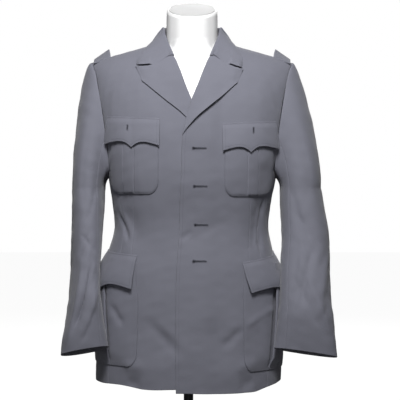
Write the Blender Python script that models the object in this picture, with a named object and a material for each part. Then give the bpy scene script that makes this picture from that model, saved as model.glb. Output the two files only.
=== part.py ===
"""A military-style blazer, closed on a limbless counter-top dress form.

Metres, +Z up, the front of the blazer towards -Y. The origin is the centre of the base's underside.
Left and right are the wearer's: the left half is at +X, and the left front lies over the right one.

Every cloth panel is a closed wall between two grids of points. The grids are read from one surface of the
body, shell(angle, level): angle runs round the body (-90 degrees front centre, 0 the side, 90 the back)
and level runs up it (0 the hem, 1 the armpit, 2 the ridge of the shoulder).
"""

import math

import bmesh
import bpy
import numpy as np

CLOTH = 0.0018  # thickness of a cloth wall
SEAM = 0.0005  # gap between two panels at a seam
SLEEVE_GAP = 0.0017  # gap between the armhole and the sleeve set into it
LAYER = CLOTH + 0.0006  # how far a layer lies above the one under it
STRAP_CLOTH = 0.0030  # thickness of the interlined shoulder strap

HEM_Z = 0.148
CHEST_Z = 0.610
RIDGE_Z = 0.9000  # height of the shoulder ridge at the neck's centre
RIDGE_Y = 0.006
SHOULDER_SLOPE = 0.307
RIDGE_BEND = 0.050  # half width over which the ridge bends from one shoulder to the other
FRONT_ARCH = 2.2  # how square the front's curve over the shoulder is
BACK_ARCH = 2.6
SPREAD = 0.2216  # share by which the body widens from the armpit to the shoulder
SPREAD_POWER = 0.85

BASE_RADIUS = 0.150
BASE_HEIGHT = 0.008
POLE_RADIUS = 0.0105
SOCKET_RADIUS = 0.021
SOCKET_HEIGHT = 0.030
FORM_BOTTOM_Z = 0.232
NECK_TOP_Z = 0.9640
NECK_TOP_TILT = 0.44  # rise of the neck's sloping top for each metre towards the back

COLOURS = {
    "wool": ((0.205, 0.208, 0.248), 0.85, 0.0),
    "form_white": ((0.83, 0.83, 0.82), 0.45, 0.0),
    "steel": ((0.42, 0.42, 0.43), 0.28, 1.0),
    "base_black": ((0.03, 0.03, 0.03), 0.4, 0.0),
}


def table(names, *rows):
    """Smooth functions through the columns of a table, each read against its first column."""
    data = np.array(rows, float)
    keys = data[:, 0]

    def column(values):
        slopes = np.gradient(values, keys)

        def value(x):
            x = np.clip(x, keys[0], keys[-1])
            i = np.clip(np.searchsorted(keys, x, side="right") - 1, 0, len(keys) - 2)
            step = keys[i + 1] - keys[i]
            t = (x - keys[i]) / step
            rise = values[i + 1] - values[i]
            first, last = slopes[i] * step, slopes[i + 1] * step
            return values[i] + t * (first + t * (3 * rise - 2 * first - last + t * (first + last - 2 * rise)))

        return value

    return {name: column(data[:, i]) for i, name in enumerate(names.split())}


BODY = table(
    "z centre_x half_width front_depth back_depth squareness",
    (0.148, 0.0000, 0.2010, 0.136, 0.134, 2.30),
    (0.200, 0.0000, 0.2010, 0.136, 0.136, 2.30),
    (0.260, 0.0005, 0.1995, 0.134, 0.137, 2.30),
    (0.330, 0.0010, 0.1955, 0.131, 0.134, 2.35),
    (0.400, 0.0028, 0.1880, 0.127, 0.123, 2.40),
    (0.445, 0.0050, 0.1755, 0.122, 0.112, 2.40),
    (0.480, 0.0070, 0.1675, 0.120, 0.106, 2.40),
    (0.545, 0.0072, 0.1725, 0.127, 0.108, 2.45),
    (0.585, 0.0078, 0.1798, 0.134, 0.115, 2.48),
    (0.610, 0.0080, 0.1835, 0.136, 0.118, 2.50),
)
FRONT_EDGE = table(
    "z past_centre",
    (0.148, 0.0240),
    (0.420, 0.0253),
    (0.550, 0.0228),
    (0.683, 0.0174),
)
SIDE_SEAMS = table(
    "z front_angle back_angle",
    (0.148, -27.0, 27.0),
    (0.300, -27.0, 27.0),
    (0.478, -28.0, 29.0),
    (0.560, -24.0, 25.0),
    (0.610, -18.4, 20.8),
)
# Edges above the armpit, against the share of the way up to the shoulder ridge.
NECK_EDGE = table(
    "rise x",
    (0.000, -0.0205),
    (0.251, -0.0174),
    (0.360, -0.0115),
    (0.500, 0.0002),
    (0.622, 0.0140),
    (0.750, 0.0275),
    (0.834, 0.0385),
    (0.886, 0.0515),
    (0.943, 0.0660),
    (1.000, 0.0780),
)
ARMHOLE = table(
    "rise front_x back_x",
    (0.00, 0.1745, 0.1668),
    (0.25, 0.1805, 0.1725),
    (0.46, 0.1880, 0.1815),
    (0.70, 0.1985, 0.1940),
    (0.90, 0.2090, 0.2080),
    (1.00, 0.2185, 0.2185),
)
HEM_RISE = {
    # How far the hem hangs above HEM_Z, against the angle in degrees.
    1: table(
        "angle rise",
        (-95.0, -0.0030),
        (-45.0, -0.0047),
        (-36.0, -0.0040),
        (-29.0, 0.0010),
        (-17.0, 0.0060),
        (-5.0, 0.0085),
        (30.0, 0.0050),
        (90.0, 0.0050),
    ),
    -1: table(
        "angle rise",
        (-100.0, 0.0045),
        (-79.0, 0.0045),
        (-54.0, 0.0035),
        (-36.0, 0.0100),
        (-20.0, 0.0085),
        (0.0, 0.0070),
        (30.0, 0.0050),
        (90.0, 0.0050),
    ),
}
HEM_REACH = 0.25  # level up to which the hem's rise is felt
BACK_NECK_X = 0.078
BACK_NECK_LEVEL = 1.745  # where the neck seam crosses the centre back


def smooth(t):
    t = np.clip(t, 0.0, 1.0)
    return t * t * (3 - 2 * t)


def mix(a, b, t):
    return a + (b - a) * t


def ridge(x):
    """Height of the shoulder ridge at x from the body's centre line."""
    return RIDGE_Z - SHOULDER_SLOPE * (np.sqrt(x * x + RIDGE_BEND**2) - RIDGE_BEND)


def ring(angle, z, inset):
    """x and y of the horizontal section at z, at or below the armpit."""
    front = np.sin(angle) < 0
    half = BODY["half_width"](z) - inset
    depth = np.where(front, BODY["front_depth"](z), BODY["back_depth"](z)) - inset
    square = BODY["squareness"](z)
    across = np.abs(np.cos(angle) / half) ** square + np.abs(np.sin(angle) / depth) ** square
    radius = across ** (-1 / square)
    return radius * np.cos(angle), radius * np.sin(angle)


def shell(angle, level, inset=0.0, drop=0.0):
    """Points of the body's surface, as (x from the centre line, y, z). Inset and drop shrink it."""
    angle, level = np.broadcast_arrays(np.asarray(angle, float), np.asarray(level, float))
    z = HEM_Z + np.minimum(level, 1.0) * (CHEST_Z - HEM_Z)
    x, y = ring(angle, z, inset)
    turn = np.clip(level - 1, 0, 1) * math.pi / 2
    arch = np.where(np.sin(angle) < 0, FRONT_ARCH, BACK_ARCH)
    rise = np.sin(turn) ** (2 / arch)
    fall = np.clip(np.cos(turn), 0, 1) ** (2 / arch)
    x = x * (1 + SPREAD * rise**SPREAD_POWER)
    y = mix(RIDGE_Y, y, fall)
    return np.stack([x, y, z + (ridge(x) - drop - CHEST_Z) * rise], -1)


def level_at(angle, z):
    """The level at which the surface reaches height z, at an angle on the front or back."""
    z = np.asarray(z, float)
    x_chest, _ = ring(angle, CHEST_Z, 0.0)
    above = np.clip(z - CHEST_Z, 0, None)
    rise = above / (RIDGE_Z - CHEST_Z)
    for _ in range(8):
        x = x_chest * (1 + SPREAD * rise**SPREAD_POWER)
        rise = np.clip(above / (ridge(x) - CHEST_Z), 0, 1)
    arch = np.where(np.sin(angle) < 0, FRONT_ARCH, BACK_ARCH)
    turn = np.arcsin(rise ** (arch / 2))
    return np.where(z > CHEST_Z, 1 + turn / (math.pi / 2), (z - HEM_Z) / (CHEST_Z - HEM_Z))


def angle_at(x, z, rise, front=True):
    """The angle at which the surface is at x from the centre line, at height z or share of rise."""
    low = np.minimum(z, CHEST_Z)
    x = x / (1 + SPREAD * rise**SPREAD_POWER)
    depth = BODY["front_depth" if front else "back_depth"](low)
    square = BODY["squareness"](low)
    share = np.clip(np.abs(x) / BODY["half_width"](low), 0, 0.9999)
    y = depth * (1 - share**square) ** (1 / square)
    return np.arctan2(-y if front else y, x)


def on_front(x, z):
    """Angle and level of the front's point at x from the centre line and height z."""
    rise = np.clip((z - CHEST_Z) / (ridge(x) - CHEST_Z), 0, 1)
    angle = angle_at(x, z, rise)
    return angle, level_at(angle, z)


def normals(angle, level):
    """Outward normals of the body's surface."""
    step = 2e-3
    back = np.where(level > 1.99, 1.0, 0.0)
    along = shell(angle + step, level) - shell(angle - step, level)
    up = shell(angle, level + step * (1 - back)) - shell(angle, level - step * (1 + back))
    cross = np.cross(along, up)
    return cross / np.linalg.norm(cross, axis=-1, keepdims=True)


# Soft folds of the cloth, as ridges (height over 0) or troughs between two points. X is positive on the left half.
FOLDS = (
    # face, from_x, from_z, to_x, to_z, width, height
    ("front", -0.005, 0.455, 0.055, 0.495, 0.020, -0.0020),
    ("front", 0.148, 0.545, 0.135, 0.450, 0.018, -0.0035),
    ("front", 0.095, 0.165, 0.105, 0.300, 0.030, 0.0030),
    ("front", 0.045, 0.280, 0.090, 0.200, 0.030, -0.0030),
    ("front", -0.135, 0.520, -0.110, 0.450, 0.018, -0.0035),
    ("front", -0.095, 0.290, -0.050, 0.215, 0.030, -0.0035),
    ("front", -0.100, 0.165, -0.080, 0.300, 0.030, 0.0030),
    ("back", 0.040, 0.500, 0.130, 0.470, 0.020, -0.0030),
    ("back", -0.045, 0.495, -0.130, 0.475, 0.020, -0.0030),
    ("back", 0.100, 0.160, 0.085, 0.330, 0.030, 0.0035),
    ("back", -0.100, 0.160, -0.085, 0.330, 0.030, 0.0035),
)


def place(side, points):
    """Points from the centre line's frame, moved to the left (1) or the right (-1) half of the blazer."""
    centre = BODY["centre_x"](points[..., 2])
    return np.stack([centre + side * points[..., 0], points[..., 1], points[..., 2]], -1)


def fold_height(points, side):
    """How far the folds lift the surface at points of one half's frame."""
    points = points * np.array([side, 1, 1])
    height = np.zeros(points.shape[:-1])
    for face, x1, z1, x2, z2, width, lift in FOLDS:
        ends = []
        for x, z in ((x1, z1), (x2, z2)):
            angle = angle_at(x, z, 0.0, front=face == "front")
            ends.append(shell(angle, level_at(angle, z)))
        start, run = ends[0], ends[1] - ends[0]
        along = np.clip(((points - start) @ run) / (run @ run), -0.25, 1.25)
        away = np.linalg.norm(points - start - along[..., None] * run, axis=-1)
        taper = smooth(1.5 - np.abs(along - 0.5) * 2)
        height += lift * taper * np.exp(-((away / width) ** 2))
    return height


def cloth_point(side, angle, level, offset):
    """A point of the draped cloth, offset outwards from the body's surface."""
    points = shell(angle, level)
    out = normals(angle, level)
    lift = np.asarray(offset) + fold_height(points, side)
    return place(side, points + out * lift[..., None])


def stray(points):
    """Signed distance of points of the centre line's frame over the body's surface, and its outward normal."""

    def field(p):
        x, y, z = p[..., 0], p[..., 1], p[..., 2]
        front = y < RIDGE_Y
        arch = np.where(front, FRONT_ARCH, BACK_ARCH)
        rise = np.clip((z - CHEST_Z) / (ridge(x) - CHEST_Z), 1e-6, None)
        x0 = np.clip(np.abs(x) / (1 + SPREAD * rise**SPREAD_POWER), 0, None)
        depth = np.where(front, BODY["front_depth"](CHEST_Z), BODY["back_depth"](CHEST_Z))
        square = BODY["squareness"](CHEST_Z)
        share = np.clip(x0 / BODY["half_width"](CHEST_Z), 0, 0.999)
        reach = depth * (1 - share**square) ** (1 / square) + np.where(front, RIDGE_Y, -RIDGE_Y)
        fall = np.abs(y - RIDGE_Y) / reach
        return (rise**arch + fall**arch) ** (1 / arch) - 1

    step = 1e-5
    value = field(points)
    slope = np.stack(
        [(field(points + step * axis) - field(points - step * axis)) / (2 * step) for axis in np.eye(3)], -1
    )
    size = np.linalg.norm(slope, axis=-1)
    return value / size, slope / size[..., None]


def rest_on(points, clearance, flat=0.0):
    """Points moved out until they clear the body: along its normal, or level where flat is 1."""
    points = np.array(points, float)
    for _ in range(8):
        distance, out = stray(points)
        way = out * np.array([1, 1, 1 - flat])
        reach = np.maximum(np.sum(out * way, -1), 0.2)
        points = points + way * (np.clip(clearance - distance, 0, None) / reach)[..., None]
    return points


def grid_normals(grid):
    """Normals of a grid of points, from its own rows and columns."""
    cross = np.cross(np.gradient(grid, axis=1), np.gradient(grid, axis=0))
    return cross / np.maximum(np.linalg.norm(cross, axis=-1, keepdims=True), 1e-12)


def material(name):
    made = bpy.data.materials.get(name)
    if made is None:
        made = bpy.data.materials.new(name)
        made.use_nodes = True
        colour, roughness, metallic = COLOURS[name]
        shader = made.node_tree.nodes["Principled BSDF"]
        shader.inputs["Base Color"].default_value = (*colour, 1.0)
        shader.inputs["Roughness"].default_value = roughness
        shader.inputs["Metallic"].default_value = metallic
    return made


def add_object(name, mesh, material_name):
    mesh.materials.append(material(material_name))
    made = bpy.data.objects.new(name, mesh)
    PARTS.objects.link(made)
    return made


def add_bmesh(name, body, material_name):
    bmesh.ops.remove_doubles(body, verts=body.verts, dist=1e-6)
    bmesh.ops.recalc_face_normals(body, faces=body.faces)
    mesh = bpy.data.meshes.new(name)
    body.to_mesh(mesh)
    body.free()
    mesh.shade_smooth()
    mesh.set_sharp_from_angle(angle=math.radians(40))
    return add_object(name, mesh, material_name)


def add_wall(name, inner, outer, material_name="wool"):
    """A closed wall between two grids of the same rows and columns."""
    rows, columns = inner.shape[:2]
    body = bmesh.new()
    faces = []
    sides = [[[body.verts.new(p) for p in row] for row in grid] for grid in (inner, outer)]
    for j in range(rows - 1):
        for i in range(columns - 1):
            for grid in sides:
                faces.append((grid[j][i], grid[j][i + 1], grid[j + 1][i + 1], grid[j + 1][i]))
    rim = [(0, i) for i in range(columns)] + [(j, columns - 1) for j in range(1, rows)]
    rim += [(rows - 1, i) for i in range(columns - 2, -1, -1)] + [(j, 0) for j in range(rows - 2, 0, -1)]
    for (j, i), (l, k) in zip(rim, rim[1:] + rim[:1]):
        faces.append((sides[0][j][i], sides[0][l][k], sides[1][l][k], sides[1][j][i]))
    for face in faces:
        body.faces.new(face)
    return add_bmesh(name, body, material_name)


def side_name(side):
    return "left" if side > 0 else "right"


# Panels of the body
LOW_LEVELS = np.linspace(0.0, 1.0, 16)
HIGH_LEVELS = np.linspace(1.0, 2.0, 11)[1:]
BODY_LEVELS = np.concatenate([LOW_LEVELS, HIGH_LEVELS])


def rise_of(level, arch):
    return np.sin(np.clip(level - 1, 0, 1) * math.pi / 2) ** (2 / arch)


def height_of(level):
    return HEM_Z + np.minimum(level, 1.0) * (CHEST_Z - HEM_Z)


def hang(side, angle, level):
    """The level of a point of a panel, moved up or down as the hem hangs."""
    rise = HEM_RISE[side]["rise"](np.degrees(angle)) / (CHEST_Z - HEM_Z)
    return level + rise * (1 - smooth(level / HEM_REACH))


def front_inner_angle(level):
    """Angle of the front's inner edge: the overlap up to the lapel's break, then the roll line."""
    rise = rise_of(level, FRONT_ARCH)
    z = height_of(level)
    low = angle_at(-FRONT_EDGE["past_centre"](z), z, 0.0)
    high = angle_at(NECK_EDGE["x"](rise), z, rise)
    return np.where(level > 1, high, low)


def armhole_angle(level, front):
    rise = rise_of(level, FRONT_ARCH if front else BACK_ARCH)
    return angle_at(ARMHOLE["front_x" if front else "back_x"](rise), CHEST_Z, rise, front)


def seam_angle(level, front):
    """Angle of the side seam below the armpit, and of the armhole above it."""
    low = np.radians(SIDE_SEAMS["front_angle" if front else "back_angle"](height_of(level)))
    return np.where(level > 1, armhole_angle(level, front), low)


def over_lift(side, points):
    """How far the left front is lifted to lie over the right front and, at the break, over its lapel."""
    if side < 0:
        return np.zeros(points.shape[:-1])
    z = points[..., 2]
    height = LAYER * (1.15 + 1.35 * smooth((z - 0.640) / 0.035)) * (1 - 0.85 * smooth((z - 0.755) / 0.06))
    return height * (1 - smooth((points[..., 0] - 0.032) / 0.034))


def seam_gap(angle, level):
    """The angle that half a seam gap covers."""
    reach = np.hypot(*np.moveaxis(shell(angle, level)[..., :2], -1, 0))
    return SEAM / 2 / np.maximum(reach, 0.03)


def add_front(side):
    inner_edge = front_inner_angle(BODY_LEVELS)
    outer_edge = seam_angle(BODY_LEVELS, True)
    outer_edge = outer_edge - seam_gap(outer_edge, BODY_LEVELS)
    across = np.linspace(0, 1, 14)
    angle = mix(inner_edge[:, None], outer_edge[:, None], across[None, :])
    level = hang(side, angle, np.minimum(BODY_LEVELS, 2.0 - 2 * SEAM)[:, None])
    lift = over_lift(side, shell(angle, level))
    add_wall(
        f"front_{side_name(side)}",
        cloth_point(side, angle, level, lift),
        cloth_point(side, angle, level, lift + CLOTH),
    )


def add_side_panel(side):
    front_edge = seam_angle(LOW_LEVELS, True)
    back_edge = seam_angle(LOW_LEVELS, False)
    front_edge = front_edge + seam_gap(front_edge, LOW_LEVELS)
    back_edge = back_edge - seam_gap(back_edge, LOW_LEVELS)
    across = np.linspace(0, 1, 7)
    angle = mix(front_edge[:, None], back_edge[:, None], across[None, :])
    scoop = 0.03 * np.sin(math.pi * across)
    level = hang(side, angle, LOW_LEVELS[:, None] * (1 - scoop[None, :]))
    add_wall(
        f"side_{side_name(side)}",
        cloth_point(side, angle, level, np.zeros(angle.shape)),
        cloth_point(side, angle, level, np.full(angle.shape, CLOTH)),
    )


def back_neck_level(x):
    """Level of the neck seam at x from the centre back."""
    share = np.clip(np.abs(x) / BACK_NECK_X, 0, 1)
    return mix(BACK_NECK_LEVEL, 2.0, share**2.6)


def add_back(side):
    side_edge = seam_angle(BODY_LEVELS, False)
    side_edge = side_edge + seam_gap(side_edge, BODY_LEVELS)
    centre = math.pi / 2 - SEAM / 2 / 0.12 * np.ones(len(BODY_LEVELS))
    across = np.linspace(0, 1, 11)
    angle = mix(centre[:, None], side_edge[:, None], across[None, :])
    top_x = shell(angle[-1], np.full(angle.shape[1], 2.0))[:, 0]
    top = np.minimum(back_neck_level(top_x), 2.0 - 2 * SEAM)
    squeeze = (top - 1)[None, :]
    level = BODY_LEVELS[:, None]
    level = np.where(level > 1, 1 + (level - 1) * squeeze, level)
    level = hang(side, angle, level)
    add_wall(
        f"back_{side_name(side)}",
        cloth_point(side, angle, level, np.zeros(angle.shape)),
        cloth_point(side, angle, level, np.full(angle.shape, CLOTH)),
    )


# Sleeves. The angle round a sleeve is 0 on its outer side, 90 degrees at its front and 180 next to the body.
SLEEVE = {
    -1: table(
        "z centre_x centre_y half_width half_depth turn lean_x lean_y",
        (0.230, 0.2155, -0.1155, 0.0482, 0.0385, 8, 0.19, -0.25),
        (0.260, 0.2163, -0.1130, 0.0445, 0.0425, 10, 0.14, -0.20),
        (0.300, 0.2178, -0.1030, 0.0373, 0.0530, 12, 0.07, -0.12),
        (0.340, 0.2187, -0.090, 0.0315, 0.0640, 12, 0.03, -0.06),
        (0.392, 0.2193, -0.070, 0.0295, 0.0700, 12, 0.00, 0.00),
        (0.458, 0.2195, -0.045, 0.0312, 0.0720, 8, 0.00, 0.00),
        (0.546, 0.2175, -0.018, 0.0335, 0.0780, 2, 0.00, 0.00),
        (0.600, 0.2170, -0.004, 0.0330, 0.0800, 0, 0.00, 0.00),
    ),
    1: table(
        "z centre_x centre_y half_width half_depth turn lean_x lean_y",
        (0.226, 0.2472, -0.112, 0.0640, 0.0260, 6, 0.157, -0.25),
        (0.260, 0.2477, -0.108, 0.0605, 0.0340, 8, 0.12, -0.20),
        (0.300, 0.2484, -0.100, 0.0560, 0.0440, 10, 0.07, -0.12),
        (0.340, 0.2486, -0.088, 0.0525, 0.0500, 10, 0.03, -0.06),
        (0.392, 0.2503, -0.068, 0.0510, 0.0560, 10, 0.00, 0.00),
        (0.458, 0.2528, -0.043, 0.0500, 0.0600, 6, 0.00, 0.00),
        (0.546, 0.2472, -0.018, 0.0450, 0.0680, 2, 0.00, 0.00),
        (0.600, 0.2420, -0.004, 0.0400, 0.0760, 0, 0.00, 0.00),
    ),
}
CUFF_Z = {-1: 0.230, 1: 0.226}
BICEP_Z = 0.572
SLEEVE_SQUARE = 2.25
CAP_STEPS = (0.0, 0.08, 0.22, 0.44, 0.71, 1.0)
LENGTH_STEPS = 10
FRONT_SLEEVE_SEAM = 128
BACK_SLEEVE_SEAM = 252
SLEEVE_FOLDS = {
    # angle, from_z, to_angle, to_z, width in degrees, height
    1: (
        (70, 0.440, 95, 0.330, 9, -0.0050),
        (30, 0.420, 60, 0.300, 9, 0.0050),
        (60, 0.290, 20, 0.340, 8, -0.0045),
        (110, 0.520, 80, 0.440, 10, -0.0035),
        (250, 0.460, 290, 0.420, 12, -0.0045),
    ),
    -1: (
        (75, 0.470, 110, 0.440, 10, -0.0045),
        (95, 0.400, 60, 0.290, 9, -0.0050),
        (60, 0.400, 45, 0.260, 9, 0.0040),
        (120, 0.350, 85, 0.270, 9, 0.0035),
        (250, 0.460, 290, 0.420, 12, -0.0045),
    ),
}
ARMHOLE_CENTRE_Z = 0.735
CAP_PUSH = {1: 0.012, -1: 0.030}  # how far the sleeve heads out sideways where it leaves the shoulder


def armhole_loop(side, angles):
    """Inner edge of the armhole, at angles round it: 0 the shoulder, 90 degrees the front, 180 the armpit."""
    high = np.linspace(1.0, 2.0, 60)
    front = shell(armhole_angle(high, True), high)
    back = shell(armhole_angle(high, False), high)
    front_out = normals(armhole_angle(high, True), high)
    back_out = normals(armhole_angle(high, False), high)
    across = np.linspace(0, 1, 30)[1:-1]
    low_angle = mix(armhole_angle(1.0, True), armhole_angle(1.0, False), across)
    low_level = 1 - 0.03 * np.sin(math.pi * across)
    bottom = shell(low_angle, low_level)
    bottom_out = normals(low_angle, low_level)
    loop = np.concatenate([front[::-1], bottom, back[:-1]])
    out = np.concatenate([front_out[::-1], bottom_out, back_out[:-1]])
    bearing = np.arctan2(RIDGE_Y - loop[:, 1], loop[:, 2] - ARMHOLE_CENTRE_Z) % (2 * math.pi)
    order = np.argsort(bearing)
    loop, out, bearing = loop[order], out[order], bearing[order]
    angles = np.asarray(angles) % (2 * math.pi)
    edge = np.stack([np.interp(angles, bearing, loop[:, k], period=2 * math.pi) for k in range(3)], -1)
    normal = np.stack([np.interp(angles, bearing, out[:, k], period=2 * math.pi) for k in range(3)], -1)
    clear = CLOTH * np.clip(normal[:, 0], 0, 1) + SLEEVE_GAP
    edge[:, 0] += clear
    radial = np.stack([0 * angles, -np.sin(angles), np.cos(angles)], -1)
    return place(side, edge), radial * np.array([side, 1, 1])


def sleeve_ring(side, angles, z):
    """One section of the sleeve's inner face, at the height z of its centre."""
    row = {name: SLEEVE[side][name](z) for name in SLEEVE[side]}
    swing = np.radians(row["turn"])
    cosine, sine = np.cos(angles), np.sin(angles)
    radius = (np.abs(cosine) ** SLEEVE_SQUARE + np.abs(sine) ** SLEEVE_SQUARE) ** (-1 / SLEEVE_SQUARE)
    out, ahead = row["half_width"] * radius * cosine, row["half_depth"] * radius * sine
    fold = np.zeros(len(angles))
    degrees = np.degrees(angles) % 360
    for a1, z1, a2, z2, width, height in SLEEVE_FOLDS[side]:
        along = np.clip((z1 - z) / (z1 - z2), -0.3, 1.3)
        taper = smooth(1.6 - abs(along - 0.5) * 2)
        away = (degrees - mix(a1, a2, along) + 180) % 360 - 180
        fold += height * taper * np.exp(-((away / width) ** 2))
    out = out * (1 + fold / row["half_width"])
    ahead = ahead * (1 + fold / row["half_depth"])
    dx = out * math.cos(swing) - ahead * math.sin(swing)
    dy = -ahead * math.cos(swing) - out * math.sin(swing)
    x = row["centre_x"] + dx
    y = row["centre_y"] + dy
    return np.stack([side * x, y, z - row["lean_x"] * dx + row["lean_y"] * dy], -1)


def sleeve_grid(side, angles):
    """Inner and outer face of a sleeve, as rows from the armhole to the cuff."""
    start, radial = armhole_loop(side, angles)
    end = sleeve_ring(side, angles, BICEP_Z)
    reach = np.linalg.norm(end - start, axis=-1, keepdims=True)
    first = start + np.array([side, 0, 0]) * CAP_PUSH[side] * (0.25 + reach)
    last = end + np.array([0, 0, 1]) * reach * 0.42
    rows = []
    for t in CAP_STEPS:
        rows.append(
            (1 - t) ** 3 * start + 3 * (1 - t) ** 2 * t * first + 3 * (1 - t) * t**2 * last + t**3 * end
        )
    for z in np.linspace(BICEP_Z, CUFF_Z[side], LENGTH_STEPS)[1:]:
        rows.append(sleeve_ring(side, angles, z))
    inner = np.array(rows)
    out = side * grid_normals(inner)
    out[0] = radial
    return inner, inner + CLOTH * out


def add_sleeve(side):
    seam = math.radians(0.45)
    top_angles = np.radians(np.linspace(BACK_SLEEVE_SEAM - 360, FRONT_SLEEVE_SEAM, 16))
    under_angles = np.radians(np.linspace(FRONT_SLEEVE_SEAM, BACK_SLEEVE_SEAM, 10))
    for name, angles in (("top_sleeve", top_angles), ("under_sleeve", under_angles)):
        angles = angles.copy()
        angles[0] += seam
        angles[-1] -= seam
        inner, outer = sleeve_grid(side, angles)
        add_wall(f"{name}_{side_name(side)}", inner, outer)


# Layers that lie on the body: lapels, pockets and flaps
def add_layer(name, side, angle, level, low, thickness):
    """A wall over the body's panels: low is its clearance and thickness its cloth, over a grid."""
    lift = over_lift(side, shell(angle, level)) + low
    add_wall(name, cloth_point(side, angle, level, lift), cloth_point(side, angle, level, lift + thickness))


LAPEL_EDGE = {
    1: table(
        "share x z",
        (0.00, -0.0135, 0.6895),
        (0.12, 0.0059, 0.7120),
        (0.32, 0.0352, 0.7378),
        (0.54, 0.0646, 0.7639),
        (0.72, 0.0890, 0.7868),
        (0.79, 0.0966, 0.7940),
        (0.85, 0.0998, 0.8035),
        (1.00, 0.1071, 0.8240),
    ),
    -1: table(
        "share x z",
        (0.00, -0.0135, 0.6905),
        (0.15, 0.0132, 0.7203),
        (0.45, 0.0568, 0.7569),
        (0.70, 0.0950, 0.7892),
        (0.77, 0.1040, 0.7968),
        (0.84, 0.1082, 0.8075),
        (1.00, 0.1180, 0.8315),
    ),
}
BREAK_Z = 0.683
GORGE_Z = 0.8478  # where the seam between collar and lapel meets the roll line


def add_lapel(side):
    along = np.concatenate([np.linspace(0, 0.86, 9), [0.93, 1.0]])
    across = np.array([0.0, 0.12, 0.3, 0.5, 0.7, 0.87, 1.0])
    roll_z = mix(BREAK_Z, GORGE_Z, along)
    roll_x = NECK_EDGE["x"]((roll_z - CHEST_Z) / (RIDGE_Z - 0.005 - CHEST_Z))
    edge_x, edge_z = LAPEL_EDGE[side]["x"](along), LAPEL_EDGE[side]["z"](along)
    x = mix(roll_x[:, None], edge_x[:, None], across[None, :])
    z = mix(roll_z[:, None], edge_z[:, None], across[None, :])
    angle, level = on_front(x, z)
    puff = 0.003 * (1 - across[None, :]) ** 2 * smooth((roll_z[:, None] - 0.765) / 0.04)
    low = LAYER + puff + 0.001 * across[None, :] ** 2 * along[:, None]
    add_layer(f"lapel_{side_name(side)}", side, angle, level, low, CLOTH)


FLAP_EDGE = table(
    "share depth",
    (0.00, 0.970),
    (0.14, 0.905),
    (0.27, 0.870),
    (0.38, 0.905),
    (0.50, 1.060),
    (0.62, 0.905),
    (0.73, 0.870),
    (0.86, 0.905),
    (1.00, 0.970),
)
FLAP_STEPS = np.array([0.0, 0.12, 0.22, 0.3, 0.38, 0.44, 0.5, 0.56, 0.62, 0.7, 0.78, 0.88, 1.0])
PLEAT = 0.0016  # height of a box pleat over its pocket
BAG_OFF = LAYER + 0.0008
FLAP_OFF = BAG_OFF + LAYER + PLEAT
BREAST = {
    # Edges of the bag and the flap as x from the centre line, and their heights.
    1: {"flap": (0.0640, 0.1765), "bag": (0.0685, 0.170), "pleat": 0.1265, "top": 0.7045, "bottom": 0.5545},
    -1: {"flap": (0.0665, 0.1780), "bag": (0.0690, 0.170), "pleat": 0.1300, "top": 0.7150, "bottom": 0.5595},
}
BREAST_FLAP = 0.0580
BREAST_SLOPE = 0.0075  # rise of the breast flap's top towards the arm
HIP = {
    # Edges as angles in degrees, and heights.
    1: {"flap": (-44.5, 15.0), "bag": (-45.3, 14.5), "pleat": -15.5, "top": 0.4170, "bottom": 0.1865},
    -1: {"flap": (-44.0, 15.0), "bag": (-48.8, 14.5), "pleat": -17.0, "top": 0.4255, "bottom": 0.1980},
}
HIP_FLAP = 0.0680
HIP_SLOPE = 0.0080
HIP_SWEEP = 8.5  # degrees by which the hip pleat's lower end lies ahead of its upper one
HIP_BOW = {1: 0.9, -1: 4.4}  # degrees by which the hip bag's front edge is drawn in at its top
PLEAT_HALF = 0.0135


def bag_bottom(share, width, bottom, radius):
    """Height of a bag's lower edge across its width, with round corners."""
    from_edge = np.minimum(share, 1 - share) * width
    into = np.clip(1 - from_edge / radius, 0, 1)
    return bottom + radius * (1 - np.sqrt(1 - into**2))


def bag_columns(pleat_share, pleat_half):
    """Shares across a bag, with a step of height at each edge of its box pleat."""
    left, right = pleat_share - pleat_half, pleat_share + pleat_half
    shares = [0, 0.03, 0.09, 0.17, (0.17 + left) / 2, left - 0.006, left + 0.006, pleat_share]
    shares += [right - 0.006, right + 0.006, (0.83 + right) / 2, 0.83, 0.91, 0.97, 1]
    raised = [0, 0, 0, 0, 0, 0, 1, 1, 1, 0, 0, 0, 0, 0, 0]
    return np.array(shares), np.array(raised, float)


def sweep(share, z, top, bottom, pleat, bow):
    """How far a point of a bag is moved round the body, by the sweep of its pleat and its edge's bow."""
    down = np.clip((top - z) / (top - bottom), 0, 1)
    degrees = -pleat * smooth(down * 0.8) * np.sin(math.pi * share) ** 1.3
    return np.radians(degrees + bow * (1 - smooth(down * 2)) * (1 - share) ** 2)


def add_bag(name, side, angle_of, edges, pleat, width, top, bottom, slope, swept=(0.0, 0.0)):
    span = edges[1] - edges[0]
    shares, raised = bag_columns((pleat - edges[0]) / span, PLEAT_HALF / width)
    down = np.array([0, 0.09, 0.2, 0.34, 0.52, 0.74, 0.9, 1.0])
    z_top = top + slope * shares - 0.012
    z_bottom = bag_bottom(shares, width, bottom, 0.022)
    z = mix(z_bottom[None, :], z_top[None, :], 1 - down[:, None])[::-1]
    angle = angle_of(edges[0] + span * shares[None, :], z) + sweep(shares[None, :], z, top, bottom, *swept)
    level = level_at(angle, z)
    thickness = np.broadcast_to(CLOTH + PLEAT * raised[None, :], z.shape)
    add_layer(name, side, angle, level, BAG_OFF, thickness)


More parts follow.
